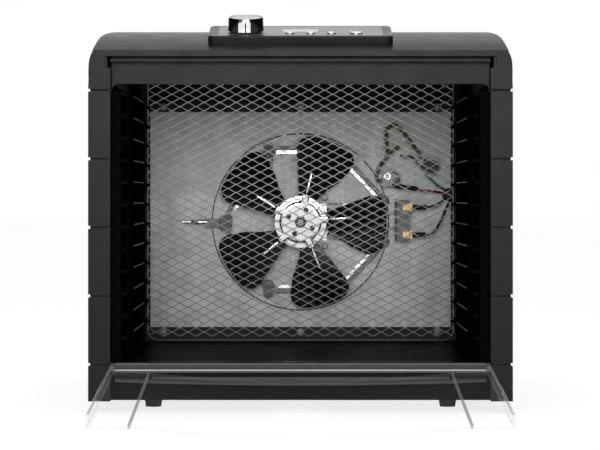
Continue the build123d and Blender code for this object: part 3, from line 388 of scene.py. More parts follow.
def build_screen():
    """Zigzag strands between the side edges, and a thin rim round them."""
    half = (screen_high.x - screen_low.x) / 2 - 0.8 * mm
    rows = int((screen_high.z - screen_low.z) / (diamond_short / 2))
    middle = (screen_low.z + screen_high.z) / 2
    steps = int(half / (diamond_long / 2)) + 1
    parts = []
    for row in range(-rows // 2 + 1, rows // 2):
        base = middle + (row + 0.5) * diamond_short / 2
        line = []
        for k in range(-steps, steps + 1):
            up = 1 if (k + row) % 2 else -1
            for shift in (-knuckle / 2, knuckle / 2):
                x = k * diamond_long / 2 + shift
                if abs(x) <= half:
                    line.append((x, base + up * (diamond_short / 4 - strand_width * 0.22), up))
        verts = []
        for x, z, up in line:
            across = strand_width / 2
            deep = strand_thick / 2
            for a, d in ((-across, -deep), (across, -deep), (across, deep), (-across, deep)):
                lift = a * cos(strand_twist) + d * sin(strand_twist)
                back = -a * sin(strand_twist) + d * cos(strand_twist)
                verts.append(Vector((x, screen_y + back, z + lift)))
        faces = rings_to_faces(len(line), 4)
        faces.append((0, 1, 2, 3))
        last = 4 * (len(line) - 1)
        faces.append((last + 3, last + 2, last + 1, last))
        parts.append((verts, faces))
    rim_points = []
    corner = 9.5 * mm
    side = (screen_high.x - screen_low.x) / 2 - 0.7 * mm
    low = screen_low.z + 0.7 * mm
    for sign, start in ((1, -90), (-1, 180)):
        for k in range(9):
            angle = radians(start + 90 * k / 8)
            x = sign * (side - corner) + corner * cos(angle)
            rim_points.append(Vector((x, screen_y, low + corner + corner * sin(angle))))
    right = rim_points[:9]
    left = rim_points[9:]
    high = screen_high.z - 0.7 * mm
    loop = [*left, *right, Vector((side, screen_y, high)), Vector((-side, screen_y, high))]
    parts.append(tube(loop, lambda i, turn: 0.65 * mm, around=6, closed=True))
    verts, faces = join(parts)
    screen = add_piece("expanded_screen", verts, faces, "screen_steel", "cabinet", ("mesh_screen",))
    return sharpen(screen, 30.0)


build_screen()


# ---- fan wheel: five pitched blades with pressed ribs and a stamped hub
blade_count = 5
blade_first = radians(6.0)
blade_radius = 82.5 * mm
blade_plane = hub_y + 4.0 * mm
blade_pitch = tan(radians(14.0))
blade_thick = 0.9 * mm
rib_turn = radians(-2.0)
rib_half = 1.3 * mm
rib_height = 0.4 * mm
rib_start = 29.0 * mm
rib_length = 20.0 * mm
tip_round = 14.0 * mm
hub_radius = 25.5 * mm
hub_bore = 2.9 * mm
hub_flat = 18.9 * mm


def blade_edges(radius):
    """Angles of a blade's two edges at a radius, with round tips."""
    share = min(1.0, max(0.0, (radius / mm - 18.0) / 34.0))
    lead = radians(16.0 - 1.0 * share)
    trail = radians(-22.0 - 10.0 * share)
    inset = 0.0
    start = blade_radius - tip_round
    if radius > start:
        inset = tip_round - sqrt(max(0.0, tip_round ** 2 - (radius - start) ** 2))
    return trail + inset / radius, lead - inset / radius


def blade_height(radius, angle):
    """How far a point of a blade lies behind the blade plane, before its rib is pressed."""
    across = radius * sin(angle)
    rib = 0.0
    along = (radius - rib_start) / rib_length
    if 0.0 < along < 1.0:
        from_rib = radius * sin(angle - rib_turn)
        rib = max(0.0, 1.0 - (from_rib / rib_half) ** 2) * sqrt(sin(pi * along))
    return -across * blade_pitch - rib_height * rib


def build_blade(turn):
    """One blade as a closed sheet."""
    radii = [20.0 * mm + (blade_radius - 20.0 * mm) * (1 - (1 - k / 44) ** 1.5) for k in range(45)]
    across = 91
    front = []
    for radius in radii:
        trail, lead = blade_edges(radius)
        for j in range(across):
            angle = trail + (lead - trail) * j / (across - 1)
            y = blade_plane + blade_height(radius, angle)
            front.append((radius * cos(angle + turn), y, radius * sin(angle + turn)))
    count = len(front)
    verts = [Vector((fan_x + x, y - blade_thick / 2, fan_z + z)) for x, y, z in front]
    verts += [Vector((fan_x + x, y + blade_thick / 2, fan_z + z)) for x, y, z in front]
    faces = []
    for i in range(len(radii) - 1):
        for j in range(across - 1):
            a = i * across + j
            quad = (a, a + 1, a + across + 1, a + across)
            faces.append(quad)
            faces.append(tuple(count + v for v in reversed(quad)))
    rim = [i * across for i in range(len(radii))]
    rim += [(len(radii) - 1) * across + j for j in range(1, across)]
    rim += [i * across + across - 1 for i in range(len(radii) - 2, -1, -1)]
    rim += [j for j in range(across - 2, 0, -1)]
    for a, b in zip(rim, rim[1:] + rim[:1]):
        faces.append((b, a, count + a, count + b))
    return verts, faces


def off_blade(angle):
    """Angle away from the nearest blade."""
    return (angle - blade_first + pi / blade_count) % (2 * pi / blade_count) - pi / blade_count


def hub_outline(angle):
    """Outer radius of the stamped hub, which reaches further at each blade's rib."""
    return hub_radius + 2.4 * mm * max(0.0, 1.0 - (off_blade(angle) / radians(8.0)) ** 2)


def eased(share):
    """Smooth step from 0 to 1."""
    share = min(1.0, max(0.0, share))
    return share * share * (3 - 2 * share)


def hub_depth(radius, angle):
    """Stamped relief: the outer band lies back, but for a tab at each blade, and the skirt turns back."""
    beside_tab = eased((abs(off_blade(angle)) * radius - 2.3 * mm) / (0.9 * mm))
    outside = eased((radius - hub_flat) / (1.0 * mm))
    groove = 0.9 * mm * beside_tab * outside
    skirt = max(0.0, (radius - hub_outline(angle) + 0.8 * mm) / (0.8 * mm))
    return groove + skirt * 2.4 * mm


def build_hub():
    """Hub as a dense disc of rings with a bore, its relief stamped into it."""
    around = 400
    radii = [hub_bore + (hub_flat - hub_bore) * k / 6 for k in range(7)]
    radii += [hub_flat + 0.2 * mm * k for k in range(1, 6)]
    verts = []

    def ring(radius_at, depth_at):
        for j in range(around):
            angle = 2 * pi * j / around
            radius = radius_at(angle)
            x = fan_x + radius * cos(angle)
            verts.append(Vector((x, hub_y + depth_at(radius, angle), fan_z + radius * sin(angle))))

    for radius in radii:
        ring(lambda angle: radius, hub_depth)
    for share in (0.2, 0.45, 0.7, 0.86, 1.0):
        ring(lambda angle: radii[-1] + (hub_outline(angle) - radii[-1]) * share, hub_depth)
    for inset, depth in ((0.0, 5.6), (1.1, 5.6), (1.1, 1.9)):
        ring(lambda angle: hub_outline(angle) - inset * mm, lambda radius, angle: depth * mm)
    ring(lambda angle: hub_bore, lambda radius, angle: 1.2 * mm)
    return verts, rings_to_faces(len(verts) // around, around, closed=True)


def build_fan():
    """Hub and blades as one wheel; the blades get a dark copy of the aluminium as painted dark reflection,
    and the front of each pressed rib keeps the hub's bright finish as a painted highlight.
    """
    parts = [build_hub()]
    bands = [0] * len(parts[0][1])
    for k in range(blade_count):
        turn = blade_first + 2 * pi * k / blade_count
        verts, faces = build_blade(turn)
        parts.append((verts, faces))
        for face in faces:
            middle = sum((verts[i] for i in face), Vector()) / len(face) - Vector((fan_x, 0, fan_z))
            radius = hypot(middle.x, middle.z)
            off = (atan2(middle.z, middle.x) - turn - rib_turn + pi) % (2 * pi) - pi
            # Rib fronts keep the bright aluminium as painted highlight lines; the rest of each blade gets the
            # dark copy as painted reflection.
            rib_painted_highlight = abs(radius * sin(off)) < rib_half and rib_start < radius < rib_start + rib_length
            bands.append(0 if rib_painted_highlight and middle.y < blade_plane + blade_height(radius, off + rib_turn) else 1)
    verts, faces = join(parts)
    return sharpen(add_piece("stamped_fan", verts, faces, "fan_aluminium", "fan_rotor", ("fan_wheel",),
                             finishes=(blade_dark_reflection,), bands=bands), 28.0)


build_fan()


# ---- heater: a helix of thin wire along the ring, with straight tails
heater_corners = ((-30.8, 71.1), (34.6, 71.1), (81.7, 21.1), (81.7, -20.2), (38.4, -66.3), (-30.8, -66.3),
                  (-75.9, -1.0))
heater_start = (81.7, 8.0)
heater_end = (81.7, -6.0)
heater_depth = 361.0
helix_radius = 1.75 * mm
helix_wire = 0.42 * mm
helix_pitch = 1.05 * mm


def ring_route():
    """Ring centre line with rounded corners, as a dense polyline."""
    raw = [heater_end, *heater_corners[3:], *heater_corners[:3], heater_start]
    corners = [Vector((fan_x + x * mm, cad_y(heater_depth), fan_z + z * mm)) for x, z in raw]
    line = [corners[0]]
    reach = 3.0 * mm
    for before, here, after in zip(corners, corners[1:], corners[2:]):
        start = here + (before - here).normalized() * reach
        end = here + (after - here).normalized() * reach
        for k in range(6):
            t = k / 5
            line.append(start * (1 - t) ** 2 + here * (2 * t * (1 - t)) + end * t ** 2)
    line.append(corners[-1])
    return line


def heater_strip(start, end, cut):
    """Polished strip beside a straight run of the heater, on the side of the fan's axis."""
    a = Vector((start[0] * mm, 0, start[1] * mm))
    b = Vector((end[0] * mm, 0, end[1] * mm))
    along = (b - a).normalized()
    inward = Vector((-along.z, 0, along.x))
    if inward.dot(a) > 0:
        inward = -inward
    a, b = a.lerp(b, cut), b.lerp(a, cut)
    section = ((2.3, 0.0), (2.6, -0.4), (5.6, -0.4), (5.9, 0.0), (5.9, 0.5), (2.3, 0.5))
    verts = []
    for end_point in (a, b):
        for reach, depth in section:
            middle = Vector((fan_x, cad_y(heater_depth) + depth * mm, fan_z))
            verts.append(end_point + inward * (reach * mm) + middle)
    faces = rings_to_faces(2, 6)
    faces.append(tuple(reversed(range(6))))
    faces.append(tuple(range(6, 12)))
    return verts, faces


def build_heater():
    """Coiled resistance wire and its two leads."""
    turns_step = helix_pitch / 10
    centre = resample(ring_route(), turns_step)
    helix = []
    for i, here in enumerate(centre):
        ahead = (centre[min(i + 1, len(centre) - 1)] - centre[max(i - 1, 0)]).normalized()
        side = ahead.cross(Vector((0, 1, 0))).normalized()
        turn = 2 * pi * i / 10
        back = Vector((0, 1, 0))
        helix.append(here + side * (helix_radius * cos(turn)) + back * (helix_radius * sin(turn)))
    parts = [tube(helix, lambda i, turn: helix_wire, around=5)]
    for x, z in (heater_start, heater_end):
        start = Vector((fan_x + (x - 1.0) * mm, cad_y(heater_depth), fan_z + z * mm))
        end = Vector((fan_x + 101.0 * mm, cad_y(heater_depth), fan_z + z * mm))
        lead = [start.lerp(end, k / 8) for k in range(9)]
        parts.append(tube(lead, lambda i, turn: 0.7 * mm, around=8))
    bands = [0] * sum(len(faces) for _, faces in parts)
    for start, end, cut in ((1, 2, 0.12), (3, 4, 0.12), (0, 1, 0.12), (4, 5, 0.12), (5, 6, 0.2), (6, 0, 0.2)):
        strip = heater_strip(heater_corners[start], heater_corners[end], cut)
        parts.append(strip)
        bands += [1] * len(strip[1])
    verts, faces = join(parts)
    return sharpen(add_piece("coiled_heater", verts, faces, "heater_wire", "cabinet", ("heater_coil",),
                             finishes=(reflector_finish,), bands=bands), 40.0)


build_heater()


# ---- wiring: smooth insulated wires and woven sleeves
brown_route = ((84.0, 350.0, 216.0), (82.6, 350.5, 228.0), (81.8, 350.5, 241.0), (89.0, 350.0, 247.0),
               (97.7, 350.0, 240.0), (108.0, 352.0, 226.0), (116.6, 355.5, 214.4))
fuse_route = ((94.5, 356.0, 225.0), (84.5, 355.0, 217.0), (75.5, 357.0, 205.5), (72.6, 360.0, 196.5),
              (75.0, 362.0, 190.0))
red_route = ((113.0, 354.0, 184.0), (122.0, 353.0, 182.0), (133.0, 356.0, 181.6), (140.5, 367.0, 179.4))
blue_route = ((119.6, 354.5, 199.0), (126.0, 353.0, 193.0), (131.5, 355.0, 187.0), (140.8, 367.0, 182.8))
black_upper_route = ((121.4, 352.0, 166.8), (128.0, 352.0, 167.6), (134.5, 355.5, 171.5),
                     (141.3, 367.0, 175.4))
black_lower_route = ((120.4, 352.0, 140.4), (126.5, 351.0, 141.0), (133.0, 353.0, 150.0),
                     (139.0, 356.5, 164.0), (144.6, 367.0, 174.8))
black_link_route = ((96.0, 352.5, 216.0), (105.4, 351.0, 216.0), (110.5, 353.5, 211.5), (114.0, 356.0, 207.4))


def build_wire(name, routes, slot, radius, replaced):
    """Round insulated wires."""
    parts = [tube(smooth_route(route, 1.2 * mm), lambda i, turn: radius, around=14) for route in routes]
    verts, faces = join(parts)
    return add_piece(name, verts, faces, slot, "cabinet", (replaced,))


def build_sleeve(name, route, slot, radius, replaced):
    """A woven sleeve: two sets of yarns spiral opposite ways and stand proud where they cross over."""
    step = 0.4 * mm

    def weave(i, turn):
        slope = i * 0.42
        over = sin(5 * turn + slope) * sin(5 * turn - slope)
        return radius + 0.16 * mm * over

    verts, faces = tube(smooth_route(route, step), weave, around=30)
    return add_piece(name, verts, faces, slot, "cabinet", (replaced,))


build_sleeve("woven_brown_sleeve", brown_route, "sleeve_brown", 1.8 * mm, "brown_wire_sleeve")
build_sleeve("woven_fuse_sleeve", fuse_route, "fuse_grey", 1.8 * mm, "fuse_sleeve")
build_wire("red_lead", (red_route,), "wire_red", 1.1 * mm, "red_wire")
build_wire("blue_lead", (blue_route,), "wire_blue", 1.1 * mm, "blue_wire")
build_wire("black_leads", (black_upper_route, black_lower_route, black_link_route), "wire_black", 1.1 * mm,
           "black_wires")


# ---- knob: chromed skirt with a pointer groove, satin top let in, dark foot
panel_slope = radians(11.4)
knob_low, knob_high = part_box("knob_cap")
knob_centre = (knob_low + knob_high) / 2
knob_height = 12.5 * mm
groove_half = radians(1.6)


def knob_place(radius, angle, up):
    """A point round the knob's axis; up is measured from its middle along the panel's normal."""
    x = radius * cos(angle)
    y = radius * sin(angle)
    return knob_centre + Vector((x, y * cos(panel_slope) - up * sin(panel_slope),
                                 y * sin(panel_slope) + up * cos(panel_slope)))


def build_knob():
    """Turned profile in millimetres: foot, skirt, rim and dished top, with a groove facing the user.

    The skirt is bright chrome in front only; round the rest it gets a dark chrome as painted dark reflection.
    """
    top = knob_height / 2 / mm
    satin, mark, painted_dark = 1, 2, 3
    profile = [(13.4, -top, mark), (13.4, -top + 0.9, mark), (15.0, -top + 1.1, 0), (14.5, top - 1.0, 0),
               (14.3, top - 0.35, 0), (14.0, top, 0), (13.6, top - 0.1, 0), (13.4, top - 0.45, satin),
               (7.0, top - 0.6, satin), (0.05, top - 0.65, satin)]
    around = 180
    verts = []
    for radius, up, _ in profile:
        for j in range(around):
            angle = 2 * pi * j / around
            grooved = abs(angle - 1.5 * pi) < groove_half and radius > 14.4
            groove = 0.5 if grooved else 0.0
            verts.append(knob_place((radius - groove) * mm, angle, up * mm))
    faces = rings_to_faces(len(profile), around)
    bands = []
    for i in range(len(profile) - 1):
        for j in range(around):
            turn = 2 * pi * (j + 0.5) / around - 1.5 * pi
            tone = profile[i + 1][2] if i >= 6 else profile[i][2]
            # Away from the front the chrome skirt is given the dark chrome: painted dark reflection.
            if i in (2, 3) and not -25.0 < degrees(turn) < 17.0:
                tone = painted_dark
            if i in (2, 3) and abs(turn) < groove_half:
                tone = mark
            bands.append(tone)
    faces.append(tuple(reversed(range(around))))
    bands.append(mark)
    faces.append(tuple(range((len(profile) - 1) * around, len(profile) * around)))
    bands.append(satin)
    knob = add_piece("turned_knob", verts, faces, "knob_chrome", "knob", ("knob_cap",),
                     finishes=(knob_top_finish, mark_finish, painted_dark_reflection_chrome), bands=bands)
    return sharpen(knob, 30.0)


build_knob()


def rounded_block(low, high, soft):
    """A block between two corners, in metres, whose edges along Y are cut at 45 degrees."""
    outline = [(low.x + soft, low.z), (high.x - soft, low.z), (high.x, low.z + soft),
               (high.x, high.z - soft), (high.x - soft, high.z), (low.x + soft, high.z),
               (low.x, high.z - soft), (low.x, low.z + soft)]
    verts = [Vector((x, y, z)) for y in (low.y, high.y) for x, z in outline]
    faces = rings_to_faces(2, 8)
    faces.append(tuple(range(8)))
    faces.append(tuple(reversed(range(8, 16))))
    return verts, faces


def disc_y(centre, radii):
    """A turned shape about a line along Y: pairs of radius and depth in front of the centre."""
    around = 48
    verts = []
    for radius, depth in radii:
        for j in range(around):
            angle = 2 * pi * j / around
            verts.append(centre + Vector((radius * cos(angle), -depth, radius * sin(angle))))
    faces = rings_to_faces(len(radii), around)
    faces.append(tuple(reversed(range(around))))
    faces.append(tuple(range((len(radii) - 1) * around, len(radii) * around)))
    return verts, faces


def build_thermostat():
    """Bimetal can on a grey bracket with a bright washer, a dark disc as painted shade of the rivet hole, and
    three fins.
    """
    centre = Vector((83.5 * mm, cad_y(358.0), 196.4 * mm))
    bright, can, dark = 0, 1, 2
    shapes = []

    def block(low, high, soft, tone):
        shapes.append((rounded_block(centre + Vector(low) * mm, centre + Vector(high) * mm, soft * mm), tone))

    def turned(place, radii, tone):
        sizes = [(radius * mm, depth * mm) for radius, depth in radii]
        shapes.append((disc_y(centre + Vector(place) * mm, sizes), tone))

    block((-5, 0, -11), (5, 1.2, 7), 1.2, can)
    block((-1, 0, -11), (5, 9, -9.8), 0.2, can)
    turned((6, 8, -2), ((6.5, 0), (6.5, 6.4), (5.8, 6.8)), can)
    turned((0, 0, 0), ((3.6, 0), (3.6, 0.6), (3.3, 0.9), (1.7, 0.9)), bright)
    # Dark disc in the washer: painted shade standing for the rivet hole.
    turned((0, -0.9, 0), ((1.75, 0), (1.75, 0.9), (1.45, 1.2)), dark)
    turned((0, -2.1, 0), ((0.8, 0), (0.7, 0.25)), bright)
    for k in range(3):
        left, low = -9.0 + 2.4 * k, -4.0 - 2.2 * k
        block((left, 1.0, low), (left + 4.0, 3.5, low + 1.1), 0.3, dark)
    bands = [tone for (_, part_faces), tone in shapes for _ in part_faces]
    verts, faces = join(shape for shape, _ in shapes)
    return sharpen(add_piece("detailed_thermostat", verts, faces, "bracket_zinc", "cabinet", ("thermostat",),
                             finishes=(can_finish, mark_finish), bands=bands), 30.0)


build_thermostat()


def build_terminal_plate():
    """Dark upright fin and the pale insulating board that carries the terminals."""
    fin = rounded_block(Vector((90.85 * mm, cad_y(354.0), 133.1 * mm)),
                        Vector((92.35 * mm, cad_y(367.0), 174.6 * mm)), 0.3 * mm)
    board = rounded_block(Vector((92.35 * mm, cad_y(355.0), 134.1 * mm)),
                          Vector((105.0 * mm, cad_y(357.0), 173.6 * mm)), 1.5 * mm)
    verts, faces = join([fin, board])
    bands = [0] * len(fin[1]) + [1] * len(board[1])
    plate = add_piece("terminal_board", verts, faces, "mica_board", "cabinet", ("heater_terminal_plate",),
                      finishes=(board_finish,), bands=bands)
    return sharpen(plate, 30.0)


build_terminal_plate()


def build_red_crimp():
    """Two dark crimp sleeves in line with the red wire."""
    start = Vector((88.0 * mm, cad_y(352.5), 187.6 * mm))
    end = Vector((114.0 * mm, cad_y(354.0), 184.2 * mm))
    neck, swell, sleeve_steps = 1.2, 1.1, 20
    line = [start.lerp(end, k / (2 * sleeve_steps)) for k in range(2 * sleeve_steps + 1)]

    def sleeve(i, turn):
        return (neck + swell * abs(sin(pi * i / sleeve_steps)) ** 0.4) * mm

    verts, faces = tube(line, sleeve, around=18)
    return add_piece("red_lead_crimps", verts, faces, "boot_black", "cabinet")


build_red_crimp()


def build_shoulders():
    """Curved shoulders that carry each side up into the domed cover."""
    outline = [(173.45, 273.0), (173.45, 281.0), (173.2, 286.0), (172.5, 290.0), (171.2, 293.5),
               (169.6, 296.2), (160.4, 296.2), (160.4, 273.0)]
    around = len(outline)
    stations = ((0.35, 0.8), (0.9, 0.25), (2.0, 0.0), (394.0, 0.0))
    parts = []
    for side in (-1, 1):
        verts = []
        for depth, inset in stations:
            for x, z in outline:
                out = x - (inset if x > 165 else 0.0)
                up = z - (inset if z > 296 else 0.0)
                verts.append(Vector((side * out * mm, cad_y(depth), up * mm)))
        faces = rings_to_faces(len(stations), around)
        faces.append(tuple(reversed(range(around))))
        faces.append(tuple(range((len(stations) - 1) * around, len(stations) * around)))
        parts.append((verts, faces if side > 0 else [tuple(reversed(face)) for face in faces]))
    verts, faces = join(parts)
    return sharpen(add_piece("dome_shoulders", verts, faces, "shell_black", "cabinet"), 32.0)


build_shoulders()


def build_rack_highlights():
    """Pale strips along the inner top edge of every rack rail, as painted highlights."""
    parts = []
    inner = 143.0
    highest, pitch, rails = 263.0, 18.3, 12
    for side in (-1, 1):
        for k in range(rails):
            top = highest - pitch * k
            for near, far in ((109.0, 243.0), (296.0, 334.0)):
                xs = sorted((side * (inner - 0.05), side * (inner + 0.7)))
                low = Vector((xs[0] * mm, cad_y(near), (top - 0.9) * mm))
                high = Vector((xs[1] * mm, cad_y(far), (top + 0.05) * mm))
                parts.append(rounded_block(low, high, 0.1 * mm))
    verts, faces = join(parts)
    return add_piece("rack_rail_painted_highlights", verts, faces, "chamber_black", "cabinet", smooth=False,
                     finishes=(rail_highlight_finish,), bands=[1] * len(faces))


build_rack_highlights()


def build_seams():
    """Seams where the slats of each side turn round onto the pillar's front: a matte dark line, partly the
    real joint and partly painted shade of its groove, between paler lips that are painted highlights.
    """
    parts = []
    bands = []
    lowest, pitch, seams = 39.5, 56.1, 5
    groove, lip = 1, 2
    for side in (-1, 1):
        xs = sorted((side * 156.2, side * 171.7))
        for k in range(seams):
            middle = lowest + pitch * k
            for under, over, tone in ((-0.75, 0.75, groove), (-1.35, -0.8, lip), (0.8, 1.2, lip)):
                low = Vector((xs[0] * mm, cad_y(-0.06), (middle + under) * mm))
                high = Vector((xs[1] * mm, cad_y(0.6), (middle + over) * mm))
                block = rounded_block(low, high, 0.05 * mm)
                parts.append(block)
                bands += [tone] * len(block[1])
    verts, faces = join(parts)
    return add_piece("slat_seams", verts, faces, "shell_black", "cabinet", smooth=False,
                     finishes=(matte_shade_finish, seam_lip_painted_highlight), bands=bands)


build_seams()


def build_plate_bead():
    """Narrow bead pressed round the fan's opening circle on the plate, coloured dark grey as painted shade.
    """
    centre = Vector((fan_x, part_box("baffle_plate")[0].y, fan_z))
    radius = 85.0 * mm
    points = 144
    ring = []
    for k in range(points):
        angle = 2 * pi * k / points
        ring.append(centre + Vector((radius * cos(angle), 0, radius * sin(angle))))
    verts, faces = tube(ring, lambda i, turn: 0.6 * mm, around=8, closed=True)
    return add_piece("plate_bead", verts, faces, "bracket_zinc", "cabinet", finishes=(plate_bead_shade_finish,),
                     bands=[1] * len(faces))


build_plate_bead()


def build_heater_clips():
    """Sheet clips that hold the heater ring at the left, and its bright end pin."""
    parts = []
    bands = []
    grey, pale, bright = 1, 2, 3
    for x, z, wide, tall, tone in ((-71.5, -1.0, 12.0, 15.0, grey), (-85.0, -1.0, 14.0, 9.0, pale),
                                   (-31.0, 66.0, 9.0, 19.0, grey), (-31.0, -64.0, 9.0, 17.0, grey)):
        centre = Vector((fan_x + x * mm, cad_y(heater_depth - 2.4), fan_z + z * mm))
        reach = Vector((wide * mm / 2, 0, tall * mm / 2))
        parts.append(rounded_block(centre - reach, centre + reach + Vector((0, 0.8 * mm, 0)), 1.5 * mm))
        bands += [tone] * len(parts[-1][1])
    tip = Vector((fan_x - 113.5 * mm, cad_y(heater_depth - 2.0), fan_z))
    root = Vector((fan_x - 90.0 * mm, cad_y(heater_depth - 2.0), fan_z))
    line = [tip.lerp(root, k / 12) for k in range(13)]
    parts.append(tube(line, lambda i, turn: (1.3 if i < 6 else 2.0) * mm, around=16))
    bands += [bright] * len(parts[-1][1])
    verts, faces = join(parts)
    return sharpen(add_piece("heater_clips", verts, faces, "bracket_zinc", "cabinet",
                             finishes=(clip_finish, board_finish, reflector_finish), bands=bands), 30.0)


build_heater_clips()


# ---- door rail: roll, cove and bowed bead in one moulding, with a pin at each end
hinge = Vector((0.0, cad_y(6.5), 36.5 * mm))
pin_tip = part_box("door_hinge_rail")[1].x


def build_rail():
    """Stations along the hinge; the cove lies back under the roll and the bead comes forward below it."""
    inside = 152.2 * mm
    roll = [(2.0, -4.8), (4.4, -2.6), (5.1, 0.0), (4.4, 2.6), (2.6, 4.4), (0.4, 5.1), (-1.0, 4.9),
            (-2.6, 3.4), (-3.8, 1.6), (-4.5, 0.3), (-4.95, -0.9), (-5.15, -2.0), (-5.18, -2.9),
            (-4.95, -3.7), (-3.4, -4.3), (-1.8, -4.8)]
    stations = 61
    verts = []
    for i in range(stations):
        x = inside * (2 * i / (stations - 1) - 1)
        bow = 2.8 * (1 - (x / inside) ** 2)
        low = -11.8 - bow
        bead = [(-0.9, -5.6), (-0.4, -6.6), (-0.3, -7.6), (-0.7, low + 3.6), (-1.5, low + 2.6),
                (-1.9, low + 1.9), (-2.0, low + 1.3), (-1.7, low + 0.6), (-0.9, low + 0.15),
                (0.9, low + 0.15), (1.7, low + 0.6), (2.0, low + 1.3)]
        for y, z in roll + bead:
            verts.append(hinge + Vector((x, y * mm, z * mm)))
    around = len(verts) // stations
    faces = rings_to_faces(stations, around)
    faces.append(tuple(reversed(range(around))))
    faces.append(tuple(range((stations - 1) * around, stations * around)))
    # The cove band gets a matte dark finish as painted shade under the roll; the bead below gets a paler
    # satin finish as painted sheen.
    bands = []
    for face in faces[:-2]:
        middle = sum((verts[i] for i in face), Vector()) / len(face) - hinge
        cove = -8.4 * mm < middle.z < -3.9 * mm
        bands.append(1 if cove else 2 if middle.z < -8.0 * mm else 0)
    bands += [0, 0]
    parts = [(verts, faces)]
    for side in (-1, 1):
        steps = (152.0, 154.9, 154.95, pin_tip / mm - 0.6, pin_tip / mm)
        pin = [hinge + Vector((side * x * mm, 0, 0)) for x in steps]
        sizes = (3.9, 3.9, 2.45, 2.45, 1.9)
        parts.append(tube(pin, lambda i, turn: sizes[i] * mm, around=40))
        bands += [0] * len(parts[-1][1])
    verts, faces = join(parts)
    return sharpen(add_piece("rolled_rail", verts, faces, "rail_black", "door", ("door_hinge_rail",),
                             finishes=(matte_shade_finish, bead_sheen_finish), bands=bands), 50.0)


build_rail()


# ---- clear door: one bowed sheet with upright side flanges and a finger lip, hung below level
door_drop = radians(5.0)
door_half = 155.0 * mm
door_reach = 248.0 * mm
door_wall = 2.5 * mm
door_face = 5.5 * mm
door_bow = 7.0 * mm
door_border = 32.0 * mm
flange_height = 10.5 * mm


def door_place(x, out, up):
    """A point of the door given across, out from the hinge line and up from it, dropped below level."""
    y = -out
    return hinge + Vector((x, y * cos(door_drop) - up * sin(door_drop),
                           y * sin(door_drop) + up * cos(door_drop)))


def door_profile():
    """Cross outline of the clear panel, from the right flange under to the left one and back inside."""
    top = -door_face + flange_height
    soft = 0.6 * mm
    floor_up = -door_face + door_wall
    wall = door_half - door_wall
    outer = [(door_half, top - soft), (door_half, -door_face + 1.2 * mm), (door_half - 1.2 * mm, -door_face)]
    inner = door_half - door_border
    outer.append((inner + 2.0 * mm, -door_face))
    for k in range(25):
        x = inner - 2 * inner * k / 24
        outer.append((x, -door_face - door_bow * (1 - (x / inner) ** 2)))
    outer.append((-inner - 2.0 * mm, -door_face))
    outer += [(-door_half + 1.2 * mm, -door_face), (-door_half, -door_face + 1.2 * mm)]
    outer += [(-door_half, top - soft), (-door_half + soft, top), (-wall - soft, top)]
    inside = [(-wall, top - soft), (-wall, floor_up + 0.8 * mm), (-wall + 0.8 * mm, floor_up)]
    inside.append((-inner - 2.0 * mm, floor_up))
    for k in range(25):
        x = -inner + 2 * inner * k / 24
        inside.append((x, floor_up - door_bow * (1 - (x / inner) ** 2)))
    inside += [(inner + 2.0 * mm, floor_up), (wall - 0.8 * mm, floor_up), (wall, floor_up + 0.8 * mm)]
    inside += [(wall, top - soft), (wall + soft, top), (door_half - soft, top)]
    return outer + inside


def build_door():
    """Extruded cross outline with a closed end and a finger lip across the free end."""
    profile = door_profile()
    around = len(profile)
    start = 5.6 * mm
    stations = [start, start + 1.0 * mm, 60.0 * mm, 120.0 * mm, 180.0 * mm, door_reach - 0.8 * mm, door_reach]
    verts = []
    for out in stations:
        shrink = 0.4 * mm if out == door_reach else 0.0
        for x, up in profile:
            verts.append(door_place(x * (1 - shrink / door_half), out, up))
    faces = rings_to_faces(len(stations), around)
    top = -door_face + flange_height
    edge = top - 1.3 * mm
    # Top edges and creases get a grey, denser finish as painted reflection lines; the flanges and end get a
    # paler, denser one as painted sheen.
    bands = []
    for i in range(len(stations) - 1):
        for j in range(around):
            x0, z0 = profile[j]
            x1, z1 = profile[(j + 1) % around]
            high = min(z0, z1) > edge
            off_crease = abs(abs(x0 + x1) / 2 - (door_half - door_border))
            crease = off_crease < 2.5 * mm and abs(x0 - x1) < 2.5 * mm
            flange = min(abs(x0), abs(x1)) > door_half - door_wall - 1.0 * mm
            bands.append(1 if high or crease else 2 if flange else 0)
    for i in (0, len(stations) - 1):
        row = i * around
        tone = 0 if i == 0 else 2
        for j in range(around // 2 - 1):
            a, b = row + j, row + j + 1
            c, d = row + (around - 3 - j) % around, row + (around - 2 - j) % around
            if len({a, b, c, d}) == 4:
                faces.append((a, b, c, d) if i == 0 else (d, c, b, a))
                bands.append(tone)
    lip_root = door_reach - door_wall
    lip_low = -door_face - 2.0 * mm
    lip_high = top - 4.5 * mm
    lip = []
    for x in (-door_half + door_wall, door_half - door_wall):
        for out, up in ((lip_root, lip_low), (door_reach, lip_low), (door_reach, lip_high - 0.6 * mm),
                        (door_reach - 0.6 * mm, lip_high), (lip_root + 0.6 * mm, lip_high),
                        (lip_root, lip_high - 0.6 * mm)):
            lip.append(door_place(x, out, up))
    first = len(verts)
    verts += lip
    for j in range(6):
        k = (j + 1) % 6
        faces.append((first + j, first + k, first + 6 + k, first + 6 + j))
        bands.append(2 if j == 3 else 0)
    faces.append(tuple(first + j for j in reversed(range(6))))
    faces.append(tuple(first + 6 + j for j in range(6)))
    bands += [0, 0]
    door = add_piece("clear_door", verts, faces, "door_clear", "door", ("door_window",), smooth=True,
                     finishes=(door_edge_reflection_finish, door_flange_sheen_finish), bands=bands)
    return sharpen(door, 30.0)


build_door()

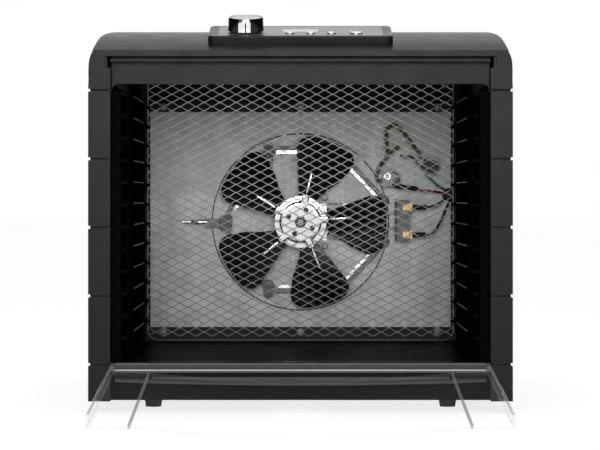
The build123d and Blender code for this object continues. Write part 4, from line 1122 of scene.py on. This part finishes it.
# ---- floor, light and camera
floor_mesh = bpy.data.meshes.new("floor")
floor_mesh.from_pydata([(-20, -20, 0), (20, -20, 0), (20, 20, 0), (-20, 20, 0)], [], [(0, 1, 2, 3)])
floor = bpy.data.objects.new("floor", floor_mesh)
bpy.context.scene.collection.objects.link(floor)
floor_look = Shader("floor")
floor_look.set(Roughness=0.9, Specular_IOR_Level=0.0, Emission_Color=(1.0, 1.0, 1.0, 1.0),
               Emission_Strength=0.82)
floor_tone = floor_look.noise(1.5, 3.0)
floor_ramp = floor_look.ramp(floor_tone, "Fac", [(0.3, (0.27, 0.27, 0.275)), (0.7, (0.29, 0.29, 0.295))])
floor_look.link(floor_ramp, "Color", floor_look.surface, "Base Color")
floor_mesh.materials.append(floor_look.material)


def studio_world():
    """White backdrop to the eye; for reflections soft boxes in front, behind and above, dim at the sides."""
    world = bpy.data.worlds.new("studio")
    world.use_nodes = True
    tree = world.node_tree
    tree.nodes.clear()

    def math(operation, first, second):
        node = tree.nodes.new("ShaderNodeMath")
        node.operation = operation
        for socket, value in zip(node.inputs, (first, second)):
            if isinstance(value, float):
                socket.default_value = value
            else:
                tree.links.new(value, socket)
        return node.outputs[0]

    coords = tree.nodes.new("ShaderNodeTexCoord")
    split = tree.nodes.new("ShaderNodeSeparateXYZ")
    tree.links.new(coords.outputs["Generated"], split.inputs[0])

    def ramp(source, start, end, level):
        node = tree.nodes.new("ShaderNodeMapRange")
        node.interpolation_type = "SMOOTHSTEP"
        tree.links.new(source, node.inputs["Value"])
        node.inputs["From Min"].default_value = start
        node.inputs["From Max"].default_value = end
        node.inputs["To Max"].default_value = level
        return node.outputs["Result"]

    front_box = ramp(split.outputs["Y"], -0.9, -0.94, 1.0)
    back_wall = ramp(split.outputs["Y"], 0.8, 0.95, 0.95)
    top_box = ramp(split.outputs["Z"], 0.35, 0.8, 0.7)
    glow = math("ADD", math("ADD", front_box, back_wall), math("ADD", top_box, 0.07))
    rays = tree.nodes.new("ShaderNodeLightPath")
    shown = tree.nodes.new("ShaderNodeMix")
    tree.links.new(rays.outputs["Is Camera Ray"], shown.inputs["Factor"])
    tree.links.new(glow, shown.inputs["A"])
    shown.inputs["B"].default_value = 1.0
    background = tree.nodes.new("ShaderNodeBackground")
    background.inputs["Color"].default_value = (1.0, 1.0, 1.0, 1.0)
    tree.links.new(shown.outputs["Result"], background.inputs["Strength"])
    output = tree.nodes.new("ShaderNodeOutputWorld")
    tree.links.new(background.outputs[0], output.inputs["Surface"])
    bpy.context.scene.world = world


def area_light(name, place, target, size, power):
    """A soft rectangular lamp aimed at a point."""
    data = bpy.data.lights.new(name, "AREA")
    data.shape = "RECTANGLE"
    data.size, data.size_y = size
    data.energy = power
    lamp = bpy.data.objects.new(name, data)
    lamp.location = place
    lamp.rotation_euler = (Vector(target) - Vector(place)).to_track_quat("-Z", "Y").to_euler()
    bpy.context.scene.collection.objects.link(lamp)


studio_world()
area_light("front_soft", (0.0, front_y - 1.9, 0.55), (0, front_y + 0.3, 0.15), (0.9, 0.6), 12)
area_light("top_soft", (0.0, front_y + 0.1, 1.5), (0, front_y + 0.15, 0.2), (1.2, 1.0), 6)

camera_distance = 2.024
camera_height = 0.1765
camera_data = bpy.data.cameras.new("camera")
camera_data.sensor_width = 36.0
camera_data.lens = 148.7
camera_data.shift_x = -0.5 / 600
camera_data.shift_y = -28.0 / 600
camera_data.clip_end = 100.0
camera = bpy.data.objects.new("camera", camera_data)
camera.location = (0.0, front_y - camera_distance, camera_height)
camera.rotation_euler = (pi / 2, 0.0, 0.0)
bpy.context.scene.collection.objects.link(camera)
bpy.context.scene.camera = camera
bpy.context.scene.view_settings.view_transform = "Standard"
